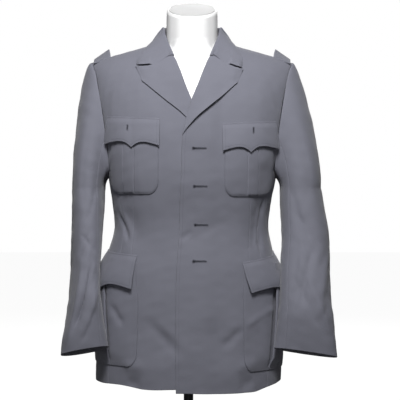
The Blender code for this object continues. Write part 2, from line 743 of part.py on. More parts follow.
def add_flap(name, side, angle_of, edges, depth, top, slope):
    down = np.array([1.0, 0.7, 0.4, 0.14, 0.0])
    z_top = top + slope * FLAP_STEPS
    z = z_top[None, :] - down[:, None] * depth * FLAP_EDGE["depth"](FLAP_STEPS)[None, :]
    angle = angle_of(edges[0] + (edges[1] - edges[0]) * FLAP_STEPS[None, :] + 0 * z, z)
    level = level_at(angle, z)
    low = np.where(down > 0.1, FLAP_OFF, LAYER + 0.0010)
    add_layer(name, side, angle, level, low[:, None], CLOTH)


def angle_from_x(x, z):
    rise = np.clip((z - CHEST_Z) / (ridge(x) - CHEST_Z), 0, 1)
    return angle_at(x, z, rise)


def angle_from_degrees(degrees, z):
    return np.radians(degrees) + 0 * z


def add_pockets(side):
    name = side_name(side)
    bag, flap = BREAST[side]["bag"], BREAST[side]["flap"]
    pleat, top, bottom = BREAST[side]["pleat"], BREAST[side]["top"], BREAST[side]["bottom"]
    add_bag(f"breast_pocket_{name}", side, angle_from_x, bag, pleat, 0.128, top, bottom, BREAST_SLOPE)
    add_flap(f"breast_flap_{name}", side, angle_from_x, flap, BREAST_FLAP, top, BREAST_SLOPE)
    bag, flap, turn = HIP[side]["bag"], HIP[side]["flap"], angle_from_degrees
    pleat, top, bottom = HIP[side]["pleat"], HIP[side]["top"], HIP[side]["bottom"]
    swept = (HIP_SWEEP, HIP_BOW[side])
    add_bag(f"hip_pocket_{name}", side, turn, bag, pleat, 0.195, top, bottom, HIP_SLOPE, swept)
    add_flap(f"hip_flap_{name}", side, turn, flap, HIP_FLAP, top, HIP_SLOPE)


# Collar: stations run from 0 at the centre back to COLLAR_END at the gorge.
COLLAR_END = 5.2
COLLAR_HALF = 0.0010  # half thickness of the doubled cloth
ROLL_RADIUS = 0.0026
COLLAR_ROLL = table(
    "station x y z",
    (0.0, 0.0000, 0.0660, 0.9320),
    (1.0, 0.0360, 0.0585, 0.9325),
    (2.0, 0.0585, 0.0280, 0.9285),
    (3.0, 0.0605, -0.0050, 0.9225),
    (4.0, 0.0550, -0.0370, 0.8990),
    (4.6, 0.0470, -0.0625, 0.8775),
    (5.2, 0.0375, -0.0850, 0.8535),
)
COLLAR_EDGE = {
    1: table(
        "station x y z",
        (0.0, 0.0000, 0.0730, 0.8800),
        (1.0, 0.0460, 0.0660, 0.8790),
        (2.0, 0.0820, 0.0380, 0.8860),
        (3.0, 0.0905, 0.0040, 0.8875),
        (4.0, 0.0955, -0.0400, 0.8690),
        (4.6, 0.1065, -0.0610, 0.8510),
        (5.2, 0.1060, -0.0800, 0.8275),
    ),
    -1: table(
        "station x y z",
        (0.0, 0.0000, 0.0730, 0.8800),
        (1.0, 0.0460, 0.0660, 0.8790),
        (2.0, 0.0820, 0.0380, 0.8860),
        (3.0, 0.0920, 0.0040, 0.8875),
        (4.0, 0.1000, -0.0380, 0.8680),
        (4.6, 0.1140, -0.0560, 0.8530),
        (5.2, 0.1175, -0.0720, 0.8350),
    ),
}


def collar_foot(station):
    """The neck seam at a station: the back's neckline, then the front's neck edge."""
    x = BACK_NECK_X * min(station / 3, 1)
    if station <= 3:
        level = min(float(back_neck_level(x)), 2 - 2 * SEAM)
        rise = float(rise_of(level, BACK_ARCH))
        angle = angle_at(x, CHEST_Z, rise, front=False)
    else:
        top = (GORGE_Z - CHEST_Z) / (RIDGE_Z - 0.005 - CHEST_Z)
        rise = mix(1.0, top, (station - 3) / (COLLAR_END - 3))
        level = min(float(level_of_rise(rise, FRONT_ARCH)), 2 - 2 * SEAM)
        angle = angle_at(NECK_EDGE["x"](rise), CHEST_Z, rise, front=True)
    out = normals(angle, np.array(level))
    lift = CLOTH + SEAM * 2 + COLLAR_HALF * 0.5 + 0.0022 * smooth((station - 4.0) / 0.8)
    return shell(angle, level) + out * lift


def level_of_rise(rise, arch):
    return 1 + np.arcsin(np.clip(rise, 0, 1) ** (arch / 2)) / (math.pi / 2)


def collar_section(station, side):
    """Middle of the collar at a station: up the stand, over the roll and down the fall."""
    foot = collar_foot(station)
    roll = np.array([COLLAR_ROLL[k](station) for k in "xyz"])
    edge = np.array([COLLAR_EDGE[side][k](station) for k in "xyz"])
    flat = float(smooth((station - 3.4) / 1.2))
    edge = rest_on(edge, LAYER + COLLAR_HALF, flat)
    up = roll - foot
    up = up / np.linalg.norm(up)
    out = edge - roll
    out = out - up * (out @ up)
    out = out / np.linalg.norm(out)
    r = ROLL_RADIUS
    section = [foot, mix(foot, roll - up * r, 0.5)]
    for turn in (180, 135, 90, 45, 0):
        a = math.radians(turn)
        section.append(roll - up * r + out * (r + r * math.cos(a)) + up * r * math.sin(a))
    fall = [mix(section[-1], edge, t) for t in (0.22, 0.48, 0.75, 1.0)]
    section += list(rest_on(np.array(fall), LAYER + COLLAR_HALF, flat))
    return np.array(section)


def add_collar():
    stations = np.concatenate([np.linspace(0, 3, 8), np.linspace(3, COLLAR_END, 9)[1:]])
    sections = [place(-1, collar_section(k, -1)) for k in stations[:0:-1]]
    sections += [place(1, collar_section(k, 1)) for k in stations]
    middle = np.stack(sections, 1)
    out = grid_normals(middle)
    add_wall("collar", middle - out * COLLAR_HALF, middle + out * COLLAR_HALF)


SHOULDER_TAB = np.array(
    [
        # root edge, then free edge; each from the front to the back
        [(0.2140, -0.0180, 0.8444), (0.2180, 0.0270, 0.8574)],
        [(0.1780, -0.0160, 0.8610), (0.1850, 0.0280, 0.8810)],
    ]
)


def add_shoulder_tab(side):
    across, along = np.linspace(0, 1, 5), np.linspace(0, 1, 5)
    rows = []
    for t in along:
        start = mix(SHOULDER_TAB[0][0], SHOULDER_TAB[1][0], t)
        end = mix(SHOULDER_TAB[0][1], SHOULDER_TAB[1][1], t)
        row = mix(start[None, :], end[None, :], across[:, None])
        row[:, 2] += 0.002 * math.sin(math.pi * t) + 0.0015 * np.sin(math.pi * across)
        rows.append(row)
    middle = place(side, np.array(rows))
    half = grid_normals(middle) * STRAP_CLOTH / 2
    add_wall(f"shoulder_tab_{side_name(side)}", middle - half, middle + half)


# Dress form and stand
FORM_INSET = 0.008
FORM_DROP = 0.0014
NECK = table("z half_width half_depth", (0.86, 0.0572, 0.0570), (0.905, 0.0566, 0.0560), (0.99, 0.0542, 0.0545))


def form_radius(angles, z):
    """Radius of the form's section at height z, before its neck."""
    if z <= CHEST_Z:
        return np.hypot(*ring(angles, z, FORM_INSET))
    low, high = np.zeros(len(angles)), np.full(len(angles), 0.26)
    half = float(BODY["half_width"](CHEST_Z)) - FORM_INSET
    square = float(BODY["squareness"](CHEST_Z))
    for _ in range(34):
        radius = (low + high) / 2
        x, y = radius * np.cos(angles), radius * np.sin(angles)
        front = y < RIDGE_Y
        depth = np.where(front, BODY["front_depth"](CHEST_Z), BODY["back_depth"](CHEST_Z)) - FORM_INSET
        arch = np.where(front, FRONT_ARCH, BACK_ARCH)
        drop = FORM_DROP + 0.004 * np.exp(-((x / 0.085) ** 4))
        rise = np.clip((z - CHEST_Z) / (ridge(x) - drop - CHEST_Z), 0, 2)
        x0 = np.abs(x) / (1 + SPREAD * rise**SPREAD_POWER)
        reach = depth * np.clip(1 - np.clip(x0 / half, 0, 1) ** square, 1e-12, 1) ** (1 / square)
        reach = np.maximum(reach + np.where(front, RIDGE_Y, -RIDGE_Y), 1e-4)
        inside = (rise**arch + (np.abs(y - RIDGE_Y) / reach) ** arch < 1) & (x0 < half)
        low, high = np.where(inside, radius, low), np.where(inside, high, radius)
    return low


def add_form():
    angles = np.radians(np.arange(0, 360, 9))
    heights = [FORM_BOTTOM_Z, 0.29, 0.35, 0.41, 0.445, 0.48, 0.515, 0.56, 0.61, 0.66, 0.71, 0.75, 0.785]
    heights += [0.81, 0.828, 0.840, 0.848, 0.856, 0.864, 0.872, 0.879, 0.886, 0.893, 0.901, 0.912, 0.928]
    rows = []
    for z in heights:
        body = form_radius(angles, z)
        half, deep = NECK["half_width"](z), NECK["half_depth"](z)
        neck = 1 / np.hypot(np.cos(angles) / half, np.sin(angles) / deep)
        soft = 0.003
        radius = (body + neck + np.sqrt((body - neck) ** 2 + soft**2)) / 2 if z > 0.8 else body
        rows.append(np.stack([radius * np.cos(angles), radius * np.sin(angles), 0 * angles + z], -1))
    half, deep = NECK["half_width"](0.96), NECK["half_depth"](0.96)
    top_x, top_y = half * np.cos(angles), deep * np.sin(angles)
    rows.append(np.stack([top_x, top_y, NECK_TOP_Z + NECK_TOP_TILT * top_y], -1))
    body = bmesh.new()
    rings = [[body.verts.new(p) for p in place(1, row)] for row in np.array(rows)]
    count = len(angles)
    for lower, upper in zip(rings, rings[1:]):
        for i in range(count):
            k = (i + 1) % count
            body.faces.new((lower[i], lower[k], upper[k], upper[i]))
    body.faces.new(rings[0][::-1])
    body.faces.new(rings[-1])
    bmesh.ops.triangulate(body, faces=[f for f in body.faces if len(f.verts) > 4])
    add_bmesh("dress_form", body, "form_white")


def add_neck_cap():
    angles = np.radians(np.arange(0, 360, 10))
    body = bmesh.new()
    rings = []
    for grow, lift in ((0.985, 0.0005), (1.02, 0.0016), (1.02, 0.0040), (0.97, 0.0055)):
        x = grow * NECK["half_width"](0.96) * np.cos(angles)
        y = grow * NECK["half_depth"](0.96) * np.sin(angles)
        points = np.stack([x, y, NECK_TOP_Z + NECK_TOP_TILT * y + lift], -1)
        rings.append([body.verts.new(p) for p in place(1, points)])
    count = len(angles)
    for lower, upper in zip(rings, rings[1:]):
        for i in range(count):
            k = (i + 1) % count
            body.faces.new((lower[i], lower[k], upper[k], upper[i]))
    body.faces.new(rings[0][::-1])
    body.faces.new(rings[-1])
    add_bmesh("neck_cap", body, "form_white")


def add_turned(name, profile, steps, material_name):
    """A solid turned round the vertical axis from (radius, z) points; the first and last lie on it."""
    angles = [2 * math.pi * i / steps for i in range(steps)]
    body = bmesh.new()
    bottom, top = body.verts.new((0, 0, profile[0][1])), body.verts.new((0, 0, profile[-1][1]))
    rings = [[body.verts.new((r * math.cos(a), r * math.sin(a), z)) for a in angles] for r, z in profile[1:-1]]
    for i in range(steps):
        k = (i + 1) % steps
        body.faces.new((bottom, rings[0][k], rings[0][i]))
        for lower, upper in zip(rings, rings[1:]):
            body.faces.new((lower[i], lower[k], upper[k], upper[i]))
        body.faces.new((top, rings[-1][i], rings[-1][k]))
    add_bmesh(name, body, material_name)


def add_stand():
    r, h = BASE_RADIUS, BASE_HEIGHT
    bore, floor_z = POLE_RADIUS + 0.0005, 0.003
    base = [(0, 0), (r - 0.002, 0), (r, 0.002), (r, h * 0.55), (r - 0.006, h - 0.001), (r - 0.014, h)]
    base += [(SOCKET_RADIUS + 0.004, h), (SOCKET_RADIUS, h + 0.004), (SOCKET_RADIUS, SOCKET_HEIGHT - 0.002)]
    base += [(SOCKET_RADIUS - 0.002, SOCKET_HEIGHT), (bore, SOCKET_HEIGHT), (bore, floor_z), (0, floor_z)]
    add_turned("base", base, 40, "base_black")
    top = FORM_BOTTOM_Z - 0.0005
    pole = [(0, floor_z + 0.0005), (POLE_RADIUS, floor_z + 0.0005), (POLE_RADIUS, 0.09), (POLE_RADIUS, 0.16)]
    pole += [(POLE_RADIUS, top), (0, top)]
    add_turned("pole", pole, 20, "steel")


def build():
    for side in (1, -1):
        add_front(side)
        add_side_panel(side)
        add_back(side)
        add_sleeve(side)
        add_lapel(side)
        add_pockets(side)
        add_shoulder_tab(side)
    add_collar()
    add_form()
    add_neck_cap()
    add_stand()


for old in list(bpy.data.objects):
    bpy.data.objects.remove(old)
PARTS = bpy.data.collections.new("Blazer_on_dress_form")
bpy.context.scene.collection.children.link(PARTS)
build()
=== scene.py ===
"""A military-style blazer on its dress form, dressed for the camera.

Metres, +Z up, the blazer's front towards -Y. Left and right are the wearer's. Every cloth piece is a
closed wall on the same surface of the body as its solid, cut to a fine grid with its creases, seams,
rolled edges and stitches. Its UV map is in metres, with the warp along V.
"""

import math

import bpy
import numpy as np
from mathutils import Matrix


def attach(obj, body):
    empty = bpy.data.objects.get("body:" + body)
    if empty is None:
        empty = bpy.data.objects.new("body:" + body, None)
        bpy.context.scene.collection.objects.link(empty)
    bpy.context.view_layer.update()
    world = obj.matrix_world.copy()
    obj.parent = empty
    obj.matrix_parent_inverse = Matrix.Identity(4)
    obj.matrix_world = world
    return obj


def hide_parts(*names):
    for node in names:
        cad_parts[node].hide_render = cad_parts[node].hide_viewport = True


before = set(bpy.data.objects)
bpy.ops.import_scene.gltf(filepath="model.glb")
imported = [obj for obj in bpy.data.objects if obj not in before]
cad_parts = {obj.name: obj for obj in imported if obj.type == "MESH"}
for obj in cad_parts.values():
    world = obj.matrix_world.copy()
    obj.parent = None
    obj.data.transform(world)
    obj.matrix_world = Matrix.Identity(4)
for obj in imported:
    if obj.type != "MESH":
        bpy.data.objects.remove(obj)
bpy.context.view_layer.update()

STEP = 0.0042  # spacing of the cloth grids
SEAM_DIP = 0.0005  # how deep a panel turns in at a seam
SEAM_REACH = 0.0008
RIM_BULGE = 0.42  # how round a cloth edge is

CLOTH = 0.0018  # thickness of a cloth wall
SEAM = 0.0003  # gap between two panels at a seam
SLEEVE_GAP = 0.0008  # gap between the armhole and the sleeve set into it
LAYER = CLOTH + 0.0006  # how far a layer lies above the one under it
STRAP_CLOTH = 0.0030  # thickness of the interlined shoulder strap

HEM_Z = 0.148
CHEST_Z = 0.610
RIDGE_Z = 0.9000  # height of the shoulder ridge at the neck's centre
RIDGE_Y = 0.006
SHOULDER_SLOPE = 0.307
RIDGE_BEND = 0.050  # half width over which the ridge bends from one shoulder to the other
FRONT_ARCH = 2.2  # how square the front's curve over the shoulder is
BACK_ARCH = 2.6
SPREAD = 0.2216  # share by which the body widens from the armpit to the shoulder
SPREAD_POWER = 0.85

BASE_RADIUS = 0.150
BASE_HEIGHT = 0.008
POLE_RADIUS = 0.0105
SOCKET_RADIUS = 0.021
SOCKET_HEIGHT = 0.030
FORM_BOTTOM_Z = 0.232
NECK_TOP_Z = 0.9640
NECK_TOP_TILT = 0.44  # rise of the neck's sloping top for each metre towards the back



def table(names, *rows):
    """Smooth functions through the columns of a table, each read against its first column."""
    data = np.array(rows, float)
    keys = data[:, 0]

    def column(values):
        slopes = np.gradient(values, keys)

        def value(x):
            x = np.clip(x, keys[0], keys[-1])
            i = np.clip(np.searchsorted(keys, x, side="right") - 1, 0, len(keys) - 2)
            step = keys[i + 1] - keys[i]
            t = (x - keys[i]) / step
            rise = values[i + 1] - values[i]
            first, last = slopes[i] * step, slopes[i + 1] * step
            return values[i] + t * (first + t * (3 * rise - 2 * first - last + t * (first + last - 2 * rise)))

        return value

    return {name: column(data[:, i]) for i, name in enumerate(names.split())}


BODY = table(
    "z centre_x half_width front_depth back_depth squareness",
    (0.148, 0.0000, 0.2010, 0.136, 0.134, 2.30),
    (0.200, 0.0000, 0.2010, 0.136, 0.136, 2.30),
    (0.260, 0.0005, 0.1995, 0.134, 0.137, 2.30),
    (0.330, 0.0010, 0.1955, 0.131, 0.134, 2.35),
    (0.400, 0.0028, 0.1880, 0.127, 0.123, 2.40),
    (0.445, 0.0050, 0.1755, 0.122, 0.112, 2.40),
    (0.480, 0.0070, 0.1675, 0.120, 0.106, 2.40),
    (0.545, 0.0072, 0.1725, 0.127, 0.108, 2.45),
    (0.585, 0.0078, 0.1798, 0.134, 0.115, 2.48),
    (0.610, 0.0080, 0.1835, 0.136, 0.118, 2.50),
)
FRONT_EDGE = table(
    "z past_centre",
    (0.148, 0.0240),
    (0.420, 0.0253),
    (0.550, 0.0228),
    (0.683, 0.0174),
)
SIDE_SEAMS = table(
    "z front_angle back_angle",
    (0.148, -27.0, 27.0),
    (0.300, -27.0, 27.0),
    (0.478, -28.0, 29.0),
    (0.560, -24.0, 25.0),
    (0.610, -18.4, 20.8),
)
# Edges above the armpit, against the share of the way up to the shoulder ridge.
NECK_EDGE = table(
    "rise x",
    (0.000, -0.0205),
    (0.251, -0.0174),
    (0.360, -0.0115),
    (0.500, 0.0002),
    (0.622, 0.0140),
    (0.750, 0.0275),
    (0.834, 0.0385),
    (0.886, 0.0515),
    (0.943, 0.0660),
    (1.000, 0.0780),
)
ARMHOLE = table(
    "rise front_x back_x",
    (0.00, 0.1745, 0.1668),
    (0.25, 0.1805, 0.1725),
    (0.46, 0.1880, 0.1815),
    (0.70, 0.1985, 0.1940),
    (0.90, 0.2090, 0.2080),
    (1.00, 0.2185, 0.2185),
)
HEM_RISE = {
    # How far the hem hangs above HEM_Z, against the angle in degrees.
    1: table(
        "angle rise",
        (-95.0, -0.0030),
        (-45.0, -0.0047),
        (-36.0, -0.0040),
        (-29.0, 0.0010),
        (-17.0, 0.0060),
        (-5.0, 0.0085),
        (30.0, 0.0050),
        (90.0, 0.0050),
    ),
    -1: table(
        "angle rise",
        (-100.0, 0.0045),
        (-79.0, 0.0045),
        (-54.0, 0.0035),
        (-36.0, 0.0100),
        (-20.0, 0.0085),
        (0.0, 0.0070),
        (30.0, 0.0050),
        (90.0, 0.0050),
    ),
}
HEM_REACH = 0.25  # level up to which the hem's rise is felt
BACK_NECK_X = 0.078
BACK_NECK_LEVEL = 1.745  # where the neck seam crosses the centre back


def smooth(t):
    t = np.clip(t, 0.0, 1.0)
    return t * t * (3 - 2 * t)


def mix(a, b, t):
    return a + (b - a) * t


def ridge(x):
    """Height of the shoulder ridge at x from the body's centre line."""
    return RIDGE_Z - SHOULDER_SLOPE * (np.sqrt(x * x + RIDGE_BEND**2) - RIDGE_BEND)


def ring(angle, z, inset):
    """x and y of the horizontal section at z, at or below the armpit."""
    front = np.sin(angle) < 0
    half = BODY["half_width"](z) - inset
    depth = np.where(front, BODY["front_depth"](z), BODY["back_depth"](z)) - inset
    square = BODY["squareness"](z)
    across = np.abs(np.cos(angle) / half) ** square + np.abs(np.sin(angle) / depth) ** square
    radius = across ** (-1 / square)
    return radius * np.cos(angle), radius * np.sin(angle)


def shell(angle, level, inset=0.0, drop=0.0):
    """Points of the body's surface, as (x from the centre line, y, z). Inset and drop shrink it."""
    angle, level = np.broadcast_arrays(np.asarray(angle, float), np.asarray(level, float))
    z = HEM_Z + np.minimum(level, 1.0) * (CHEST_Z - HEM_Z)
    x, y = ring(angle, z, inset)
    turn = np.clip(level - 1, 0, 1) * math.pi / 2
    arch = np.where(np.sin(angle) < 0, FRONT_ARCH, BACK_ARCH)
    rise = np.sin(turn) ** (2 / arch)
    fall = np.clip(np.cos(turn), 0, 1) ** (2 / arch)
    x = x * (1 + SPREAD * rise**SPREAD_POWER)
    y = mix(RIDGE_Y, y, fall)
    return np.stack([x, y, z + (ridge(x) - drop - CHEST_Z) * rise], -1)


def level_at(angle, z):
    """The level at which the surface reaches height z, at an angle on the front or back."""
    z = np.asarray(z, float)
    x_chest, _ = ring(angle, CHEST_Z, 0.0)
    above = np.clip(z - CHEST_Z, 0, None)
    rise = above / (RIDGE_Z - CHEST_Z)
    for _ in range(8):
        x = x_chest * (1 + SPREAD * rise**SPREAD_POWER)
        rise = np.clip(above / (ridge(x) - CHEST_Z), 0, 1)
    arch = np.where(np.sin(angle) < 0, FRONT_ARCH, BACK_ARCH)
    turn = np.arcsin(rise ** (arch / 2))
    return np.where(z > CHEST_Z, 1 + turn / (math.pi / 2), (z - HEM_Z) / (CHEST_Z - HEM_Z))


def angle_at(x, z, rise, front=True):
    """The angle at which the surface is at x from the centre line, at height z or share of rise."""
    low = np.minimum(z, CHEST_Z)
    x = x / (1 + SPREAD * rise**SPREAD_POWER)
    depth = BODY["front_depth" if front else "back_depth"](low)
    square = BODY["squareness"](low)
    share = np.clip(np.abs(x) / BODY["half_width"](low), 0, 0.9999)
    y = depth * (1 - share**square) ** (1 / square)
    return np.arctan2(-y if front else y, x)


def on_front(x, z):
    """Angle and level of the front's point at x from the centre line and height z."""
    rise = np.clip((z - CHEST_Z) / (ridge(x) - CHEST_Z), 0, 1)
    angle = angle_at(x, z, rise)
    return angle, level_at(angle, z)


def normals(angle, level):
    """Outward normals of the body's surface."""
    step = 2e-3
    back = np.where(level > 1.99, 1.0, 0.0)
    along = shell(angle + step, level) - shell(angle - step, level)
    up = shell(angle, level + step * (1 - back)) - shell(angle, level - step * (1 + back))
    cross = np.cross(along, up)
    return cross / np.linalg.norm(cross, axis=-1, keepdims=True)


# Soft folds of the cloth, as ridges (height over 0) or troughs between two points. X is positive on the left half.
FOLDS = (
    # face, from_x, from_z, to_x, to_z, width, height
    ("front", -0.005, 0.455, 0.055, 0.495, 0.020, -0.0020),
    ("front", 0.148, 0.545, 0.135, 0.450, 0.018, -0.0035),
    ("front", 0.095, 0.165, 0.105, 0.300, 0.030, 0.0030),
    ("front", 0.045, 0.280, 0.090, 0.200, 0.030, -0.0030),
    ("front", -0.135, 0.520, -0.110, 0.450, 0.018, -0.0035),
    ("front", -0.095, 0.290, -0.050, 0.215, 0.030, -0.0035),
    ("front", -0.100, 0.165, -0.080, 0.300, 0.030, 0.0030),
    ("back", 0.040, 0.500, 0.130, 0.470, 0.020, -0.0030),
    ("back", -0.045, 0.495, -0.130, 0.475, 0.020, -0.0030),
    ("back", 0.100, 0.160, 0.085, 0.330, 0.030, 0.0035),
    ("back", -0.100, 0.160, -0.085, 0.330, 0.030, 0.0035),
)


def place(side, points):
    """Points from the centre line's frame, moved to the left (1) or the right (-1) half of the blazer."""
    centre = BODY["centre_x"](points[..., 2])
    return np.stack([centre + side * points[..., 0], points[..., 1], points[..., 2]], -1)


def fold_height(points, side):
    """How far the folds lift the surface at points of one half's frame."""
    points = points * np.array([side, 1, 1])
    height = np.zeros(points.shape[:-1])
    for face, x1, z1, x2, z2, width, lift in FOLDS:
        ends = []
        for x, z in ((x1, z1), (x2, z2)):
            angle = angle_at(x, z, 0.0, front=face == "front")
            ends.append(shell(angle, level_at(angle, z)))
        start, run = ends[0], ends[1] - ends[0]
        along = np.clip(((points - start) @ run) / (run @ run), -0.25, 1.25)
        away = np.linalg.norm(points - start - along[..., None] * run, axis=-1)
        taper = smooth(1.5 - np.abs(along - 0.5) * 2)
        height += lift * taper * np.exp(-((away / width) ** 2))
    return height


def cloth_point(side, angle, level, offset):
    """A point of the draped cloth, offset outwards from the body's surface."""
    points = shell(angle, level)
    out = normals(angle, level)
    lift = np.asarray(offset) + fold_height(points, side)
    return place(side, points + out * lift[..., None])


def stray(points):
    """Signed distance of points of the centre line's frame over the body's surface, and its outward normal."""

    def field(p):
        x, y, z = p[..., 0], p[..., 1], p[..., 2]
        front = y < RIDGE_Y
        arch = np.where(front, FRONT_ARCH, BACK_ARCH)
        rise = np.clip((z - CHEST_Z) / (ridge(x) - CHEST_Z), 1e-6, None)
        x0 = np.clip(np.abs(x) / (1 + SPREAD * rise**SPREAD_POWER), 0, None)
        depth = np.where(front, BODY["front_depth"](CHEST_Z), BODY["back_depth"](CHEST_Z))
        square = BODY["squareness"](CHEST_Z)
        share = np.clip(x0 / BODY["half_width"](CHEST_Z), 0, 0.999)
        reach = depth * (1 - share**square) ** (1 / square) + np.where(front, RIDGE_Y, -RIDGE_Y)
        fall = np.abs(y - RIDGE_Y) / reach
        return (rise**arch + fall**arch) ** (1 / arch) - 1

    step = 1e-5
    value = field(points)
    slope = np.stack(
        [(field(points + step * axis) - field(points - step * axis)) / (2 * step) for axis in np.eye(3)], -1
    )
    size = np.linalg.norm(slope, axis=-1)
    return value / size, slope / size[..., None]


def rest_on(points, clearance, flat=0.0):
    """Points moved out until they clear the body: along its normal, or level where flat is 1."""
    points = np.array(points, float)
    for _ in range(8):
        distance, out = stray(points)
        way = out * np.array([1, 1, 1 - flat])
        reach = np.maximum(np.sum(out * way, -1), 0.2)
        points = points + way * (np.clip(clearance - distance, 0, None) / reach)[..., None]
    return points


def grid_normals(grid):
    """Normals of a grid of points, from its own rows and columns."""
    cross = np.cross(np.gradient(grid, axis=1), np.gradient(grid, axis=0))
    return cross / np.maximum(np.linalg.norm(cross, axis=-1, keepdims=True), 1e-12)


def rise_of(level, arch):
    return np.sin(np.clip(level - 1, 0, 1) * math.pi / 2) ** (2 / arch)


def height_of(level):
    return HEM_Z + np.minimum(level, 1.0) * (CHEST_Z - HEM_Z)


def hang(side, angle, level):
    """The level of a point of a panel, moved up or down as the hem hangs."""
    rise = HEM_RISE[side]["rise"](np.degrees(angle)) / (CHEST_Z - HEM_Z)
    return level + rise * (1 - smooth(level / HEM_REACH))


def front_inner_angle(level):
    """Angle of the front's inner edge: the overlap up to the lapel's break, then the roll line."""
    rise = rise_of(level, FRONT_ARCH)
    z = height_of(level)
    low = angle_at(-FRONT_EDGE["past_centre"](z), z, 0.0)
    high = angle_at(NECK_EDGE["x"](rise), z, rise)
    return np.where(level > 1, high, low)


def armhole_angle(level, front):
    rise = rise_of(level, FRONT_ARCH if front else BACK_ARCH)
    return angle_at(ARMHOLE["front_x" if front else "back_x"](rise), CHEST_Z, rise, front)


def seam_angle(level, front):
    """Angle of the side seam below the armpit, and of the armhole above it."""
    low = np.radians(SIDE_SEAMS["front_angle" if front else "back_angle"](height_of(level)))
    return np.where(level > 1, armhole_angle(level, front), low)


def over_lift(side, points):
    """How far the left front is lifted to lie over the right front and, at the break, over its lapel."""
    if side < 0:
        return np.zeros(points.shape[:-1])
    z = points[..., 2]
    height = LAYER * (1.15 + 1.35 * smooth((z - 0.640) / 0.035)) * (1 - 0.85 * smooth((z - 0.755) / 0.06))
    return height * (1 - smooth((points[..., 0] - 0.032) / 0.034))


def seam_gap(angle, level):
    """The angle that half a seam gap covers."""
    reach = np.hypot(*np.moveaxis(shell(angle, level)[..., :2], -1, 0))
    return SEAM / 2 / np.maximum(reach, 0.03)


def back_neck_level(x):
    """Level of the neck seam at x from the centre back."""
    share = np.clip(np.abs(x) / BACK_NECK_X, 0, 1)
    return mix(BACK_NECK_LEVEL, 2.0, share**2.6)


# Sleeves. The angle round a sleeve is 0 on its outer side, 90 degrees at its front and 180 next to the body.
SLEEVE = {
    -1: table(
        "z centre_x centre_y half_width half_depth turn lean_x lean_y",
        (0.230, 0.2155, -0.1155, 0.0482, 0.0385, 8, 0.19, -0.25),
        (0.260, 0.2163, -0.1130, 0.0445, 0.0425, 10, 0.14, -0.20),
        (0.300, 0.2178, -0.1030, 0.0373, 0.0530, 12, 0.07, -0.12),
        (0.340, 0.2187, -0.090, 0.0315, 0.0640, 12, 0.03, -0.06),
        (0.392, 0.2193, -0.070, 0.0295, 0.0700, 12, 0.00, 0.00),
        (0.458, 0.2195, -0.045, 0.0312, 0.0720, 8, 0.00, 0.00),
        (0.546, 0.2175, -0.018, 0.0335, 0.0780, 2, 0.00, 0.00),
        (0.600, 0.2170, -0.004, 0.0330, 0.0800, 0, 0.00, 0.00),
    ),
    1: table(
        "z centre_x centre_y half_width half_depth turn lean_x lean_y",
        (0.226, 0.2472, -0.112, 0.0640, 0.0260, 6, 0.157, -0.25),
        (0.260, 0.2477, -0.108, 0.0605, 0.0340, 8, 0.12, -0.20),
        (0.300, 0.2484, -0.100, 0.0560, 0.0440, 10, 0.07, -0.12),
        (0.340, 0.2486, -0.088, 0.0525, 0.0500, 10, 0.03, -0.06),
        (0.392, 0.2503, -0.068, 0.0510, 0.0560, 10, 0.00, 0.00),
        (0.458, 0.2528, -0.043, 0.0500, 0.0600, 6, 0.00, 0.00),
        (0.546, 0.2472, -0.018, 0.0450, 0.0680, 2, 0.00, 0.00),
        (0.600, 0.2420, -0.004, 0.0400, 0.0760, 0, 0.00, 0.00),
    ),
}
CUFF_Z = {-1: 0.230, 1: 0.226}
BICEP_Z = 0.572
SLEEVE_SQUARE = 2.25
CAP_STEPS = (0.0, 0.08, 0.22, 0.44, 0.71, 1.0)
LENGTH_STEPS = 10
FRONT_SLEEVE_SEAM = 128
BACK_SLEEVE_SEAM = 252
SLEEVE_FOLDS = {
    # angle, from_z, to_angle, to_z, width in degrees, height
    1: (
        (70, 0.440, 95, 0.330, 10, -0.0030),
        (30, 0.420, 60, 0.300, 11, 0.0024),
        (60, 0.290, 20, 0.340, 12, -0.0014),
        (110, 0.520, 80, 0.440, 10, -0.0035),
        (250, 0.460, 290, 0.420, 12, -0.0045),
    ),
    -1: (
        (75, 0.470, 110, 0.440, 10, -0.0025),
        (95, 0.400, 60, 0.290, 9, -0.0050),
        (60, 0.400, 45, 0.260, 9, 0.0040),
        (120, 0.350, 85, 0.270, 9, 0.0035),
        (250, 0.460, 290, 0.420, 12, -0.0045),
    ),
}
ARMHOLE_CENTRE_Z = 0.735
CAP_PUSH = {1: 0.012, -1: 0.030}  # how far the sleeve heads out sideways where it leaves the shoulder


